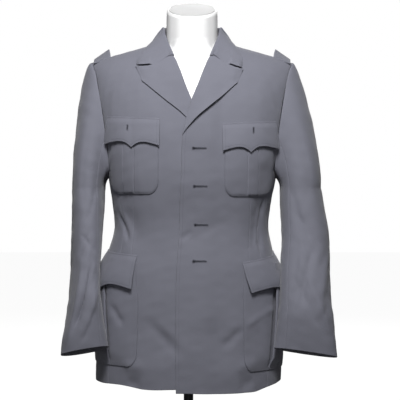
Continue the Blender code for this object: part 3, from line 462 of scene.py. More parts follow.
def armhole_loop(side, angles):
    """Inner edge of the armhole, at angles round it: 0 the shoulder, 90 degrees the front, 180 the armpit."""
    high = np.linspace(1.0, 2.0, 60)
    front = shell(armhole_angle(high, True), high)
    back = shell(armhole_angle(high, False), high)
    front_out = normals(armhole_angle(high, True), high)
    back_out = normals(armhole_angle(high, False), high)
    across = np.linspace(0, 1, 30)[1:-1]
    low_angle = mix(armhole_angle(1.0, True), armhole_angle(1.0, False), across)
    low_level = 1 - 0.03 * np.sin(math.pi * across)
    bottom = shell(low_angle, low_level)
    bottom_out = normals(low_angle, low_level)
    loop = np.concatenate([front[::-1], bottom, back[:-1]])
    out = np.concatenate([front_out[::-1], bottom_out, back_out[:-1]])
    bearing = np.arctan2(RIDGE_Y - loop[:, 1], loop[:, 2] - ARMHOLE_CENTRE_Z) % (2 * math.pi)
    order = np.argsort(bearing)
    loop, out, bearing = loop[order], out[order], bearing[order]
    angles = np.asarray(angles) % (2 * math.pi)
    edge = np.stack([np.interp(angles, bearing, loop[:, k], period=2 * math.pi) for k in range(3)], -1)
    normal = np.stack([np.interp(angles, bearing, out[:, k], period=2 * math.pi) for k in range(3)], -1)
    clear = CLOTH * np.clip(normal[:, 0], 0, 1) + SLEEVE_GAP
    edge[:, 0] += clear
    radial = np.stack([0 * angles, -np.sin(angles), np.cos(angles)], -1)
    return place(side, edge), radial * np.array([side, 1, 1])


LAPEL_EDGE = {
    1: table(
        "share x z",
        (0.00, -0.0135, 0.6895),
        (0.12, 0.0059, 0.7120),
        (0.32, 0.0352, 0.7378),
        (0.54, 0.0646, 0.7639),
        (0.72, 0.0890, 0.7868),
        (0.79, 0.0966, 0.7940),
        (0.85, 0.0998, 0.8035),
        (1.00, 0.1071, 0.8240),
    ),
    -1: table(
        "share x z",
        (0.00, -0.0135, 0.6905),
        (0.15, 0.0132, 0.7203),
        (0.45, 0.0568, 0.7569),
        (0.70, 0.0950, 0.7892),
        (0.77, 0.1040, 0.7968),
        (0.84, 0.1082, 0.8075),
        (1.00, 0.1180, 0.8315),
    ),
}
BREAK_Z = 0.683
GORGE_Z = 0.8478  # where the seam between collar and lapel meets the roll line


FLAP_EDGE = table(
    "share depth",
    (0.00, 0.970),
    (0.14, 0.905),
    (0.27, 0.870),
    (0.38, 0.905),
    (0.50, 1.060),
    (0.62, 0.905),
    (0.73, 0.870),
    (0.86, 0.905),
    (1.00, 0.970),
)
FLAP_STEPS = np.array([0.0, 0.12, 0.22, 0.3, 0.38, 0.44, 0.5, 0.56, 0.62, 0.7, 0.78, 0.88, 1.0])
PLEAT = 0.0016  # height of a box pleat over its pocket
BAG_OFF = LAYER + 0.0008
FLAP_OFF = BAG_OFF + LAYER + PLEAT
BREAST = {
    # Edges of the bag and the flap as x from the centre line, and their heights.
    1: {"flap": (0.0640, 0.1765), "bag": (0.0685, 0.170), "pleat": 0.1265, "top": 0.7045, "bottom": 0.5545},
    -1: {"flap": (0.0665, 0.1780), "bag": (0.0690, 0.170), "pleat": 0.1300, "top": 0.7150, "bottom": 0.5595},
}
BREAST_FLAP = 0.0580
BREAST_SLOPE = 0.0075  # rise of the breast flap's top towards the arm
HIP = {
    # Edges as angles in degrees, and heights.
    1: {"flap": (-44.5, 15.0), "bag": (-45.3, 14.5), "pleat": -15.5, "top": 0.4170, "bottom": 0.1865},
    -1: {"flap": (-44.0, 15.0), "bag": (-48.8, 14.5), "pleat": -17.0, "top": 0.4255, "bottom": 0.1980},
}
HIP_FLAP = 0.0680
HIP_SLOPE = 0.0080
HIP_SWEEP = 8.5  # degrees by which the hip pleat's lower end lies ahead of its upper one
HIP_BOW = {1: 0.9, -1: 4.4}  # degrees by which the hip bag's front edge is drawn in at its top
PLEAT_HALF = 0.0135


def bag_bottom(share, width, bottom, radius):
    """Height of a bag's lower edge across its width, with round corners."""
    from_edge = np.minimum(share, 1 - share) * width
    into = np.clip(1 - from_edge / radius, 0, 1)
    return bottom + radius * (1 - np.sqrt(1 - into**2))


def sweep(share, z, top, bottom, pleat, bow):
    """How far a point of a bag is moved round the body, by the sweep of its pleat and its edge's bow."""
    down = np.clip((top - z) / (top - bottom), 0, 1)
    degrees = -pleat * smooth(down * 0.8) * np.sin(math.pi * share) ** 1.3
    return np.radians(degrees + bow * (1 - smooth(down * 2)) * (1 - share) ** 2)


def angle_from_x(x, z):
    rise = np.clip((z - CHEST_Z) / (ridge(x) - CHEST_Z), 0, 1)
    return angle_at(x, z, rise)


def angle_from_degrees(degrees, z):
    return np.radians(degrees) + 0 * z


# Collar: stations run from 0 at the centre back to COLLAR_END at the gorge.
COLLAR_END = 5.2
COLLAR_HALF = 0.0010  # half thickness of the doubled cloth
ROLL_RADIUS = 0.0026
COLLAR_ROLL = table(
    "station x y z",
    (0.0, 0.0000, 0.0660, 0.9320),
    (1.0, 0.0360, 0.0585, 0.9325),
    (2.0, 0.0585, 0.0280, 0.9285),
    (3.0, 0.0605, -0.0050, 0.9225),
    (4.0, 0.0550, -0.0370, 0.8990),
    (4.6, 0.0470, -0.0625, 0.8775),
    (5.2, 0.0375, -0.0850, 0.8535),
)
COLLAR_EDGE = {
    1: table(
        "station x y z",
        (0.0, 0.0000, 0.0730, 0.8800),
        (1.0, 0.0460, 0.0660, 0.8790),
        (2.0, 0.0820, 0.0380, 0.8860),
        (3.0, 0.0905, 0.0040, 0.8875),
        (4.0, 0.0955, -0.0400, 0.8690),
        (4.6, 0.1065, -0.0610, 0.8510),
        (5.2, 0.1060, -0.0800, 0.8275),
    ),
    -1: table(
        "station x y z",
        (0.0, 0.0000, 0.0730, 0.8800),
        (1.0, 0.0460, 0.0660, 0.8790),
        (2.0, 0.0820, 0.0380, 0.8860),
        (3.0, 0.0920, 0.0040, 0.8875),
        (4.0, 0.1000, -0.0380, 0.8680),
        (4.6, 0.1140, -0.0560, 0.8530),
        (5.2, 0.1175, -0.0720, 0.8350),
    ),
}


def collar_foot(station):
    """The neck seam at a station: the back's neckline, then the front's neck edge."""
    x = BACK_NECK_X * min(station / 3, 1)
    if station <= 3:
        level = min(float(back_neck_level(x)), 2 - 2 * SEAM)
        rise = float(rise_of(level, BACK_ARCH))
        angle = angle_at(x, CHEST_Z, rise, front=False)
    else:
        top = (GORGE_Z - CHEST_Z) / (RIDGE_Z - 0.005 - CHEST_Z)
        rise = mix(1.0, top, (station - 3) / (COLLAR_END - 3))
        level = min(float(level_of_rise(rise, FRONT_ARCH)), 2 - 2 * SEAM)
        angle = angle_at(NECK_EDGE["x"](rise), CHEST_Z, rise, front=True)
    out = normals(angle, np.array(level))
    lift = CLOTH + SEAM * 2 + COLLAR_HALF * 0.5 + 0.0022 * smooth((station - 4.0) / 0.8)
    return shell(angle, level) + out * lift


def level_of_rise(rise, arch):
    return 1 + np.arcsin(np.clip(rise, 0, 1) ** (arch / 2)) / (math.pi / 2)


SHOULDER_TAB = np.array(
    [
        # root edge, then free edge; each from the front to the back
        [(0.2140, -0.0180, 0.8444), (0.2180, 0.0270, 0.8574)],
        [(0.1780, -0.0160, 0.8610), (0.1850, 0.0280, 0.8810)],
    ]
)


# Dress form and stand
FORM_INSET = 0.008
FORM_DROP = 0.0014
NECK = table("z half_width half_depth", (0.86, 0.0572, 0.0570), (0.905, 0.0566, 0.0560), (0.99, 0.0542, 0.0545))


def form_radius(angles, z):
    """Radius of the form's section at height z, before its neck."""
    if z <= CHEST_Z:
        return np.hypot(*ring(angles, z, FORM_INSET))
    low, high = np.zeros(len(angles)), np.full(len(angles), 0.26)
    half = float(BODY["half_width"](CHEST_Z)) - FORM_INSET
    square = float(BODY["squareness"](CHEST_Z))
    for _ in range(34):
        radius = (low + high) / 2
        x, y = radius * np.cos(angles), radius * np.sin(angles)
        front = y < RIDGE_Y
        depth = np.where(front, BODY["front_depth"](CHEST_Z), BODY["back_depth"](CHEST_Z)) - FORM_INSET
        arch = np.where(front, FRONT_ARCH, BACK_ARCH)
        drop = FORM_DROP + 0.004 * np.exp(-((x / 0.085) ** 4))
        rise = np.clip((z - CHEST_Z) / (ridge(x) - drop - CHEST_Z), 0, 2)
        x0 = np.abs(x) / (1 + SPREAD * rise**SPREAD_POWER)
        reach = depth * np.clip(1 - np.clip(x0 / half, 0, 1) ** square, 1e-12, 1) ** (1 / square)
        reach = np.maximum(reach + np.where(front, RIDGE_Y, -RIDGE_Y), 1e-4)
        inside = (rise**arch + (np.abs(y - RIDGE_Y) / reach) ** arch < 1) & (x0 < half)
        low, high = np.where(inside, radius, low), np.where(inside, high, radius)
    return low


# Fine creases on the body, as the folds above but narrow. X is positive on the left half.
CREASES = (
    # face, from_x, from_z, to_x, to_z, width, height
    ("front", -0.155, 0.519, -0.132, 0.463, 0.005, -0.0036),
    ("front", -0.143, 0.516, -0.124, 0.468, 0.006, 0.0014),
    ("front", 0.000, 0.481, -0.020, 0.463, 0.006, -0.0020),
    ("front", 0.060, 0.484, 0.018, 0.462, 0.008, 0.0010),
    ("front", 0.152, 0.540, 0.149, 0.440, 0.005, -0.0036),
    ("front", 0.143, 0.530, 0.139, 0.450, 0.006, 0.0016),
    ("front", 0.163, 0.530, 0.161, 0.450, 0.004, -0.0028),
    ("front", 0.139, 0.457, 0.151, 0.445, 0.004, -0.0016),
    ("front", 0.151, 0.622, 0.148, 0.566, 0.013, -0.0024),
    ("front", -0.081, 0.290, -0.022, 0.228, 0.011, -0.0034),
    ("front", -0.060, 0.292, -0.004, 0.238, 0.010, 0.0012),
    ("front", -0.159, 0.323, -0.136, 0.285, 0.007, -0.0034),
    ("front", 0.110, 0.276, 0.074, 0.238, 0.009, -0.0034),
    ("front", 0.121, 0.283, 0.146, 0.301, 0.007, 0.0022),
    ("front", 0.146, 0.301, 0.175, 0.317, 0.007, 0.0018),
    ("front", -0.134, 0.200, -0.092, 0.198, 0.013, 0.0030),
    ("front", -0.126, 0.165, -0.100, 0.160, 0.012, -0.0030),
    ("front", 0.102, 0.198, 0.143, 0.200, 0.012, 0.0026),
    ("front", 0.108, 0.160, 0.136, 0.164, 0.012, -0.0030),
    ("front", 0.030, 0.640, 0.060, 0.560, 0.012, -0.0008),
    ("front", -0.040, 0.650, -0.062, 0.560, 0.012, -0.0008),
    ("front", -0.160, 0.805, -0.185, 0.745, 0.010, -0.0014),
    ("front", 0.165, 0.800, 0.186, 0.740, 0.010, -0.0014),
    ("back", 0.060, 0.520, 0.140, 0.500, 0.009, -0.0016),
    ("back", -0.060, 0.520, -0.140, 0.505, 0.009, -0.0016),
    ("back", 0.020, 0.478, 0.110, 0.462, 0.009, -0.0014),
    ("back", -0.020, 0.482, -0.110, 0.458, 0.009, -0.0014),
)
DART_X = 0.1226
DART_TOP, DART_BOTTOM = 0.566, 0.424

coarse_folds = fold_height


def side_name(side):
    return "left" if side > 0 else "right"


def soft_waves(points, size, seed, shortest=0.055, longest=0.15):
    """A gentle unevenness of the cloth, as a sum of waves of random direction."""
    random = np.random.default_rng(seed)
    height = np.zeros(points.shape[:-1])
    for wave in range(9):
        way = random.normal(size=3)
        way *= 2 * math.pi / random.uniform(shortest, longest) / np.linalg.norm(way)
        height += np.sin(points @ way + random.uniform(0, 2 * math.pi))
    return size * height / 3


def fold_height(points, side):
    """The solids' folds with the fine creases and the cloth's unevenness."""
    signed = points * np.array([side, 1, 1])
    height = coarse_folds(points, side)
    for face, x1, z1, x2, z2, width, lift in CREASES:
        ends = []
        for x, z in ((x1, z1), (x2, z2)):
            rise = np.clip((z - CHEST_Z) / (ridge(x) - CHEST_Z), 0, 1)
            angle = angle_at(x, z, rise, front=face == "front")
            ends.append(shell(angle, level_at(angle, z)))
        start, run = ends[0], ends[1] - ends[0]
        along = np.clip(((signed - start) @ run) / (run @ run), -0.2, 1.2)
        away = np.linalg.norm(signed - start - along[..., None] * run, axis=-1)
        height += lift * smooth(1.4 - np.abs(along - 0.5) * 2) * np.exp(-((away / width) ** 2))
    return height + soft_waves(signed, 0.0006, 4) + soft_waves(signed, 0.00024, 5, 0.018, 0.042)


def arc(grid, axis):
    """Distance along the rows (1) or the columns (0) of a grid."""
    total = np.cumsum(np.linalg.norm(np.diff(grid, axis=axis), axis=-1), axis=axis)
    return np.concatenate([np.zeros_like(np.take(total, [0], axis=axis)), total], axis=axis)


def stations(length, step=STEP, fine=(0.0007, 0.0018, 0.0035)):
    """Shares of a length, spaced by the step and closer together at both ends."""
    ends = np.array((0.0,) + fine) / length
    middle = np.linspace(0.0062 / length, 1 - 0.0062 / length, max(int(length / step), 3))
    return np.concatenate([ends, middle, 1 - ends[::-1]])


def rim_of(rows, columns):
    rim = [(0, i) for i in range(columns)] + [(j, columns - 1) for j in range(1, rows)]
    return rim + [(rows - 1, i) for i in range(columns - 2, -1, -1)] + [(j, 0) for j in range(rows - 2, 0, -1)]


def grid_faces(rows, columns, start):
    j, i = np.meshgrid(np.arange(rows - 1), np.arange(columns - 1), indexing="ij")
    first = start + j * columns + i
    return np.stack([first, first + 1, first + columns + 1, first + columns], -1).reshape(-1, 4)


def mesh_piece(name, points, faces, uv=None):
    mesh = bpy.data.meshes.new(name)
    mesh.from_pydata(np.asarray(points).tolist(), [], [list(map(int, f)) for f in faces])
    if uv is not None:
        corner = np.zeros(len(mesh.loops), np.int32)
        mesh.loops.foreach_get("vertex_index", corner)
        layer = mesh.uv_layers.new(name="UVMap")
        layer.data.foreach_set("uv", np.asarray(uv, np.float32)[corner].ravel())
    mesh.shade_smooth()
    made = bpy.data.objects.new(name, mesh)
    bpy.context.scene.collection.objects.link(made)
    return made


def wall(name, inner, outer, turned_uv=False):
    """A closed wall between two grids, with a rounded rim and a UV map in metres."""
    rows, columns = outer.shape[:2]
    count = rows * columns
    rim = np.array(rim_of(rows, columns))
    near = np.stack([np.clip(rim[:, 0], 1, rows - 2), np.clip(rim[:, 1], 1, columns - 2)], -1)
    edge_out, edge_in = outer[rim[:, 0], rim[:, 1]], inner[rim[:, 0], rim[:, 1]]
    away = edge_out - outer[near[:, 0], near[:, 1]]
    away /= np.maximum(np.linalg.norm(away, axis=-1, keepdims=True), 1e-9)
    thickness = np.linalg.norm(edge_out - edge_in, axis=-1, keepdims=True)
    bulge = (edge_out + edge_in) / 2 + away * thickness * RIM_BULGE
    points = np.concatenate([outer.reshape(-1, 3), inner.reshape(-1, 3), bulge])
    top = rim[:, 0] * columns + rim[:, 1]
    side = 2 * count + np.arange(len(rim))
    top2, side2 = np.roll(top, -1), np.roll(side, -1)
    faces = [
        grid_faces(rows, columns, 0),
        grid_faces(rows, columns, count)[:, ::-1],
        np.stack([top2, top, side, side2], -1),
        np.stack([top + count, top2 + count, side2, side], -1),
    ]
    faces = np.concatenate(faces)
    facing = np.cross(np.gradient(outer, axis=1), np.gradient(outer, axis=0))
    if np.mean(np.sum(facing * (outer - inner), -1)) < 0:
        faces = faces[:, ::-1]
    uv = np.stack([arc(outer, 1), arc(outer, 0)], -1)
    if turned_uv:
        uv = uv[..., ::-1]
    flat = uv.reshape(-1, 2)
    made = mesh_piece(name, points, faces, np.concatenate([flat, flat, uv[rim[:, 0], rim[:, 1]]]))
    made["outer"] = 0
    GRIDS[name] = outer
    return made


GRIDS = {}
CLOTH_PIECES = []


def cloth(node, inner, outer, held, rests_on, turned_uv=False):
    """A cloth wall that stands for a node, with the size of its cut."""
    made = wall(f"{node}_cloth", inner, outer, turned_uv)
    made.data.materials.append(WOOL)
    a, b = outer[1:, 1:] - outer[:-1, :-1], outer[1:, :-1] - outer[:-1, 1:]
    area = float(np.linalg.norm(np.cross(a, b), axis=-1).sum() / 2)
    size = (float(arc(outer, 1)[:, -1].max()), float(arc(outer, 0)[-1].max()))
    CLOTH_PIECES.append((made, node, held, rests_on, size, min(area, size[0] * size[1])))
    return made


def seam_dip(outer_arc, edges):
    """How far a panel turns in near its seamed edges."""
    across, along = outer_arc
    distance = {
        "start": across,
        "end": across[:, -1:] - across,
        "bottom": along,
        "top": along[-1:] - along,
    }
    dip = np.zeros(across.shape)
    for edge in edges:
        dip = np.maximum(dip, np.exp(-((distance[edge] / SEAM_REACH) ** 2)))
    return SEAM_DIP * dip


def panel(node, side, angle, level, lift, seams, groove=0.0):
    """One panel of the body, over the angles and levels of its grid."""
    base = cloth_point(side, angle, level, lift)
    dip = seam_dip((arc(base, 1), arc(base, 0)), seams) * mix(1, 0.3, smooth((level - 1) / 0.05))
    inner = cloth_point(side, angle, level, lift - groove)
    outer = cloth_point(side, angle, level, lift + CLOTH - dip - groove)
    return cloth(node, inner, outer, "draped", ["dress_form_shell"])


# Shader groups and materials
def group_input(tree, name, kind, value):
    socket = tree.interface.new_socket(name=name, in_out="INPUT", socket_type=kind)
    socket.default_value = value
    return socket


def node_of(tree, kind, **settings):
    node = tree.nodes.new(kind)
    for name, value in settings.items():
        setattr(node, name, value)
    return node


def math_node(tree, operation, a, b=0.0, c=0.0):
    node = node_of(tree, "ShaderNodeMath", operation=operation)
    for k, value in enumerate((a, b, c)):
        if isinstance(value, (int, float)):
            node.inputs[k].default_value = value
        else:
            tree.links.new(value, node.inputs[k])
    return node.outputs[0]


def wool_group():
    """Twill weave with mixed yarns: colour and height from the UV map in metres."""
    tree = bpy.data.node_groups.new("wool_twill", "ShaderNodeTree")
    group_input(tree, "Cloth Colour", "NodeSocketColor", (0.2, 0.2, 0.25, 1))
    group_input(tree, "Yarn Mix", "NodeSocketFloat", 0.16)
    group_input(tree, "Rib Pitch", "NodeSocketFloat", 0.0011)
    group_input(tree, "Pressed Wear", "NodeSocketFloat", 0.05)
    tree.interface.new_socket(name="Colour", in_out="OUTPUT", socket_type="NodeSocketColor")
    tree.interface.new_socket(name="Height", in_out="OUTPUT", socket_type="NodeSocketFloat")
    tree.interface.new_socket(name="Roughness", in_out="OUTPUT", socket_type="NodeSocketFloat")
    given = node_of(tree, "NodeGroupInput")
    out = node_of(tree, "NodeGroupOutput")
    uv = node_of(tree, "ShaderNodeUVMap", uv_map="UVMap")
    split = node_of(tree, "ShaderNodeSeparateXYZ")
    tree.links.new(uv.outputs["UV"], split.inputs[0])
    u, v = split.outputs[0], split.outputs[1]
    lean = math_node(tree, "MULTIPLY_ADD", v, 0.62, u)
    turns = math_node(tree, "DIVIDE", lean, given.outputs["Rib Pitch"])
    ribs = math_node(tree, "SINE", math_node(tree, "MULTIPLY", turns, 2 * math.pi))
    cross = math_node(tree, "DIVIDE", v, given.outputs["Rib Pitch"])
    picks = math_node(tree, "SINE", math_node(tree, "MULTIPLY", cross, 2 * math.pi * 1.7))
    weave = math_node(tree, "MULTIPLY_ADD", picks, 0.35, ribs)
    stretch = node_of(tree, "ShaderNodeMapping")
    stretch.inputs["Scale"].default_value = (1.0, 0.22, 1.0)
    tree.links.new(uv.outputs["UV"], stretch.inputs["Vector"])
    yarn = node_of(tree, "ShaderNodeTexNoise")
    yarn.inputs["Scale"].default_value = 1500
    yarn.inputs["Detail"].default_value = 2
    tree.links.new(stretch.outputs[0], yarn.inputs["Vector"])
    place_of = node_of(tree, "ShaderNodeTexCoord")
    worn = node_of(tree, "ShaderNodeTexNoise")
    worn.inputs["Scale"].default_value = 9
    worn.inputs["Detail"].default_value = 4
    worn.inputs["Roughness"].default_value = 0.55
    tree.links.new(place_of.outputs["Object"], worn.inputs["Vector"])
    mixed = math_node(tree, "MULTIPLY", math_node(tree, "SUBTRACT", yarn.outputs[0], 0.5), given.outputs["Yarn Mix"])
    patchy = math_node(tree, "MULTIPLY", math_node(tree, "SUBTRACT", worn.outputs[0], 0.5), given.outputs["Pressed Wear"])
    ribbed = math_node(tree, "MULTIPLY_ADD", weave, 0.035, 1.0)
    value = math_node(tree, "ADD", math_node(tree, "ADD", ribbed, mixed), patchy)
    tint = node_of(tree, "ShaderNodeVectorMath", operation="SCALE")
    tree.links.new(given.outputs["Cloth Colour"], tint.inputs[0])
    tree.links.new(value, tint.inputs["Scale"])
    tree.links.new(tint.outputs[0], out.inputs["Colour"])
    fuzz = math_node(tree, "MULTIPLY_ADD", yarn.outputs[0], 0.6, math_node(tree, "MULTIPLY", weave, 0.5))
    tree.links.new(fuzz, out.inputs["Height"])
    tree.links.new(math_node(tree, "MULTIPLY_ADD", worn.outputs[0], 0.12, 0.78), out.inputs["Roughness"])
    return tree


def plain_material(name, colour, roughness, metallic=0.0):
    made = bpy.data.materials.new(name)
    made.use_nodes = True
    shader = made.node_tree.nodes["Principled BSDF"]
    shader.inputs["Base Color"].default_value = (*colour, 1)
    shader.inputs["Roughness"].default_value = roughness
    shader.inputs["Metallic"].default_value = metallic
    return made, shader


def wool_material(name, colour, yarn_mix, group):
    made, shader = plain_material(name, colour, 0.85)
    tree = made.node_tree
    twill = node_of(tree, "ShaderNodeGroup", node_tree=group)
    twill.inputs["Cloth Colour"].default_value = (*colour, 1)
    twill.inputs["Yarn Mix"].default_value = yarn_mix
    bump = node_of(tree, "ShaderNodeBump")
    bump.inputs["Strength"].default_value = 0.35
    bump.inputs["Distance"].default_value = 0.0003
    tree.links.new(twill.outputs["Colour"], shader.inputs["Base Color"])
    tree.links.new(twill.outputs["Roughness"], shader.inputs["Roughness"])
    tree.links.new(twill.outputs["Height"], bump.inputs["Height"])
    tree.links.new(bump.outputs[0], shader.inputs["Normal"])
    shader.inputs["Sheen Weight"].default_value = 0.22
    shader.inputs["Sheen Roughness"].default_value = 0.45
    shader.inputs["Specular IOR Level"].default_value = 0.25
    return made


def speckled_material(name, colour, roughness, metallic, scale, change, bump_depth):
    """A hard finish whose colour and gloss vary a little, with a fine grain."""
    made, shader = plain_material(name, colour, roughness, metallic)
    tree = made.node_tree
    place_of = node_of(tree, "ShaderNodeTexCoord")
    grain = node_of(tree, "ShaderNodeTexNoise")
    grain.inputs["Scale"].default_value = scale
    grain.inputs["Detail"].default_value = 5
    tree.links.new(place_of.outputs["Object"], grain.inputs["Vector"])
    tint = node_of(tree, "ShaderNodeVectorMath", operation="SCALE")
    tint.inputs[0].default_value = colour
    tree.links.new(math_node(tree, "MULTIPLY_ADD", grain.outputs[0], change, 1 - change / 2), tint.inputs["Scale"])
    tree.links.new(tint.outputs[0], shader.inputs["Base Color"])
    rough = math_node(tree, "MULTIPLY_ADD", grain.outputs[0], 0.16, roughness - 0.08)
    tree.links.new(rough, shader.inputs["Roughness"])
    bump = node_of(tree, "ShaderNodeBump")
    bump.inputs["Strength"].default_value = 0.2
    bump.inputs["Distance"].default_value = bump_depth
    tree.links.new(grain.outputs[0], bump.inputs["Height"])
    tree.links.new(bump.outputs[0], shader.inputs["Normal"])
    return made


TWILL = wool_group()
WOOL = wool_material("blue_grey_wool", (0.190, 0.193, 0.233), 0.16, TWILL)
THREAD = wool_material("sewing_thread", (0.080, 0.082, 0.106), 0.10, TWILL)
# The slits' near-black cloth is painted shade: it stands for the shadow inside each buttonhole's opening.
PAINTED_SLIT_SHADE = wool_material("buttonhole_slit_painted_shade", (0.030, 0.031, 0.040), 0.10, TWILL)
FORM_WHITE = speckled_material("form_white", (0.88, 0.88, 0.88), 0.42, 0.0, 60, 0.03, 0.0002)
# The neck plate's white is painted down to grey as painted shade, so its lit top reads darker than the neck.
CAP_WHITE_PAINTED_SHADE = speckled_material("cap_white_painted_shade", (0.51, 0.51, 0.51), 0.42, 0.0, 60, 0.03, 0.0002)
STEEL = speckled_material("dark_steel", (0.055, 0.055, 0.057), 0.38, 1.0, 400, 0.2, 0.0001)
BASE_BLACK = speckled_material("base_black", (0.03, 0.03, 0.03), 0.42, 0.0, 900, 0.3, 0.0002)


# Body panels
LOW = np.concatenate([np.array([0, 0.0007, 0.0018, 0.0035]) / 0.462, np.linspace(0.007 / 0.462, 1, 108)])
HIGH = np.concatenate([np.linspace(0, 0.978, 70)[1:], [0.988, 0.994, 0.9975, 1.0]])
LEVELS = np.concatenate([LOW, 1 + HIGH])


def front_columns(inner, dart, outer, radius):
    """Angles from a front's inner edge to its outer one, close together at both and at the dart."""
    fine = np.array([0, 0.0007, 0.0018, 0.0035]) / radius
    near = np.array([-0.0045, -0.0020, -0.0008, -0.0004, 0.0, 0.0004, 0.0008, 0.0020, 0.0045]) / radius
    first = mix(inner + fine[-1] * 1.8, dart + near[0] * 1.6, np.linspace(0, 1, 32))
    last = mix(dart + near[-1] * 1.6, outer - fine[-1] * 1.8, np.linspace(0, 1, 22))
    return np.concatenate([inner + fine, first, dart + near, last, outer - fine[::-1]])


def roll_turn(z):
    """Half the height of a lapel's roll over its front, at height z."""
    return 0.0012 + 0.0018 * smooth((z - 0.760) / 0.04)


def roll_foot(z):
    """x of a front's inner edge under the roll, which lies a roll's bulge inside the roll line."""
    share = (z - CHEST_Z) / (RIDGE_Z - 0.005 - CHEST_Z)
    return NECK_EDGE["x"](share) + 1.1 * roll_turn(z) * smooth((z - BREAK_Z) / 0.03)


def front_grid(side):
    rise = rise_of(LEVELS, FRONT_ARCH)
    high = angle_at(roll_foot(CHEST_Z + rise * (RIDGE_Z - 0.005 - CHEST_Z)), CHEST_Z, rise)
    inner = np.where(LEVELS > 1, high, front_inner_angle(LEVELS))
    outer = seam_angle(LEVELS, True)
    outer = outer - seam_gap(outer, LEVELS)
    dart = angle_at(DART_X, np.minimum(height_of(LEVELS), CHEST_Z), 0.0)
    angle = np.array([front_columns(a, d, b, 0.165) for a, d, b in zip(inner, dart, outer)])
    level = np.broadcast_to(np.minimum(LEVELS, 2 - SEAM)[:, None], angle.shape)
    return angle, hang(side, angle, level), np.broadcast_to(dart[:, None], angle.shape)


def dress_front(side):
    angle, level, dart = front_grid(side)
    points = shell(angle, level)
    z = points[..., 2]
    off = (angle - dart) * 0.165
    taper = smooth((DART_TOP - z) / 0.04) * smooth((z - DART_BOTTOM + 0.02) / 0.02)
    groove = 0.0005 * np.exp(-((off / 0.0006) ** 2)) * taper
    panel(f"front_{side_name(side)}", side, angle, level, over_lift(side, points), ("end", "top"), groove)


def dress_side(side):
    front_edge, back_edge = seam_angle(LOW, True), seam_angle(LOW, False)
    front_edge = front_edge + seam_gap(front_edge, LOW)
    back_edge = back_edge - seam_gap(back_edge, LOW)
    across = stations(0.125)
    angle = mix(front_edge[:, None], back_edge[:, None], across[None, :])
    level = hang(side, angle, LOW[:, None] * (1 - 0.03 * np.sin(math.pi * across)[None, :]))
    panel(f"side_{side_name(side)}", side, angle, level, np.zeros(angle.shape), ("start", "end", "top"))


def dress_back(side):
    side_edge = seam_angle(LEVELS, False)
    side_edge = side_edge + seam_gap(side_edge, LEVELS)
    centre = math.pi / 2 - SEAM / 2 / 0.12 * np.ones(len(LEVELS))
    across = stations(0.19)
    angle = mix(centre[:, None], side_edge[:, None], across[None, :])
    top_x = shell(angle[-1], np.full(angle.shape[1], 2.0))[:, 0]
    top = np.minimum(back_neck_level(top_x), 2 - SEAM)
    level = np.where(LEVELS[:, None] > 1, 1 + (LEVELS[:, None] - 1) * (top - 1)[None, :], LEVELS[:, None])
    level = hang(side, angle, level)
    panel(f"back_{side_name(side)}", side, angle, level, np.zeros(angle.shape), ("start", "end", "top"))


# Sleeves
SLEEVE_CREASES = {
    # angle, from_z, to_angle, to_z, width in degrees, height
    1: (
        (20, 0.450, 50, 0.405, 12, -0.0009),
        (78, 0.425, 96, 0.350, 11, -0.0014),
        (45, 0.350, 78, 0.280, 13, -0.0007),
        (5, 0.390, 38, 0.335, 11, -0.0012),
        (92, 0.500, 62, 0.455, 9, -0.0018),
        (118, 0.560, 98, 0.500, 9, -0.0020),
        (300, 0.480, 330, 0.440, 9, -0.0024),
        (290, 0.430, 325, 0.405, 9, 0.0020),
        (60, 0.650, 76, 0.560, 11, -0.0014),
        (90, 0.410, 40, 0.294, 8, 0.0024),
        (102, 0.370, 58, 0.280, 9, -0.0022),
        (105, 0.452, 111, 0.357, 7, -0.0022),
        (111, 0.357, 135, 0.300, 8, -0.0020),
    ),
    -1: (
        (92, 0.475, 58, 0.430, 8, -0.0022),
        (102, 0.450, 72, 0.410, 8, 0.0018),
        (112, 0.390, 72, 0.300, 10, -0.0022),
        (84, 0.370, 54, 0.280, 9, -0.0022),
        (105, 0.305, 82, 0.250, 8, -0.0018),
        (122, 0.570, 98, 0.510, 9, -0.0020),
        (300, 0.485, 330, 0.445, 9, -0.0024),
        (290, 0.430, 325, 0.410, 9, 0.0020),
        (62, 0.640, 82, 0.550, 11, -0.0014),
    ),
}
SLEEVE_ROPE = 0.0045  # fullness of the sleeve head over the shoulder's end


def sleeve_ring(side, angles, z):
    """One section of the sleeve's inner face, at the height z of its centre, with its creases."""
    row = {name: SLEEVE[side][name](z) for name in SLEEVE[side]}
    swing = np.radians(row["turn"])
    cosine, sine = np.cos(angles), np.sin(angles)
    radius = (np.abs(cosine) ** SLEEVE_SQUARE + np.abs(sine) ** SLEEVE_SQUARE) ** (-1 / SLEEVE_SQUARE)
    out, ahead = row["half_width"] * radius * cosine, row["half_depth"] * radius * sine
    fold = np.zeros(len(angles))
    degrees = np.degrees(angles) % 360
    for a1, z1, a2, z2, width, height in SLEEVE_FOLDS[side] + SLEEVE_CREASES[side]:
        along = np.clip((z1 - z) / (z1 - z2), -0.3, 1.3)
        taper = smooth(1.6 - abs(along - 0.5) * 2)
        away = (degrees - mix(a1, a2, along) + 180) % 360 - 180
        fold += height * taper * np.exp(-((away / width) ** 2))
    out = out * (1 + fold / row["half_width"])
    ahead = ahead * (1 + fold / row["half_depth"])
    dx = out * math.cos(swing) - ahead * math.sin(swing)
    dy = -ahead * math.cos(swing) - out * math.sin(swing)
    rise = -row["lean_x"] * dx + row["lean_y"] * dy
    return np.stack([side * (row["centre_x"] + dx), row["centre_y"] + dy, z + rise], -1)


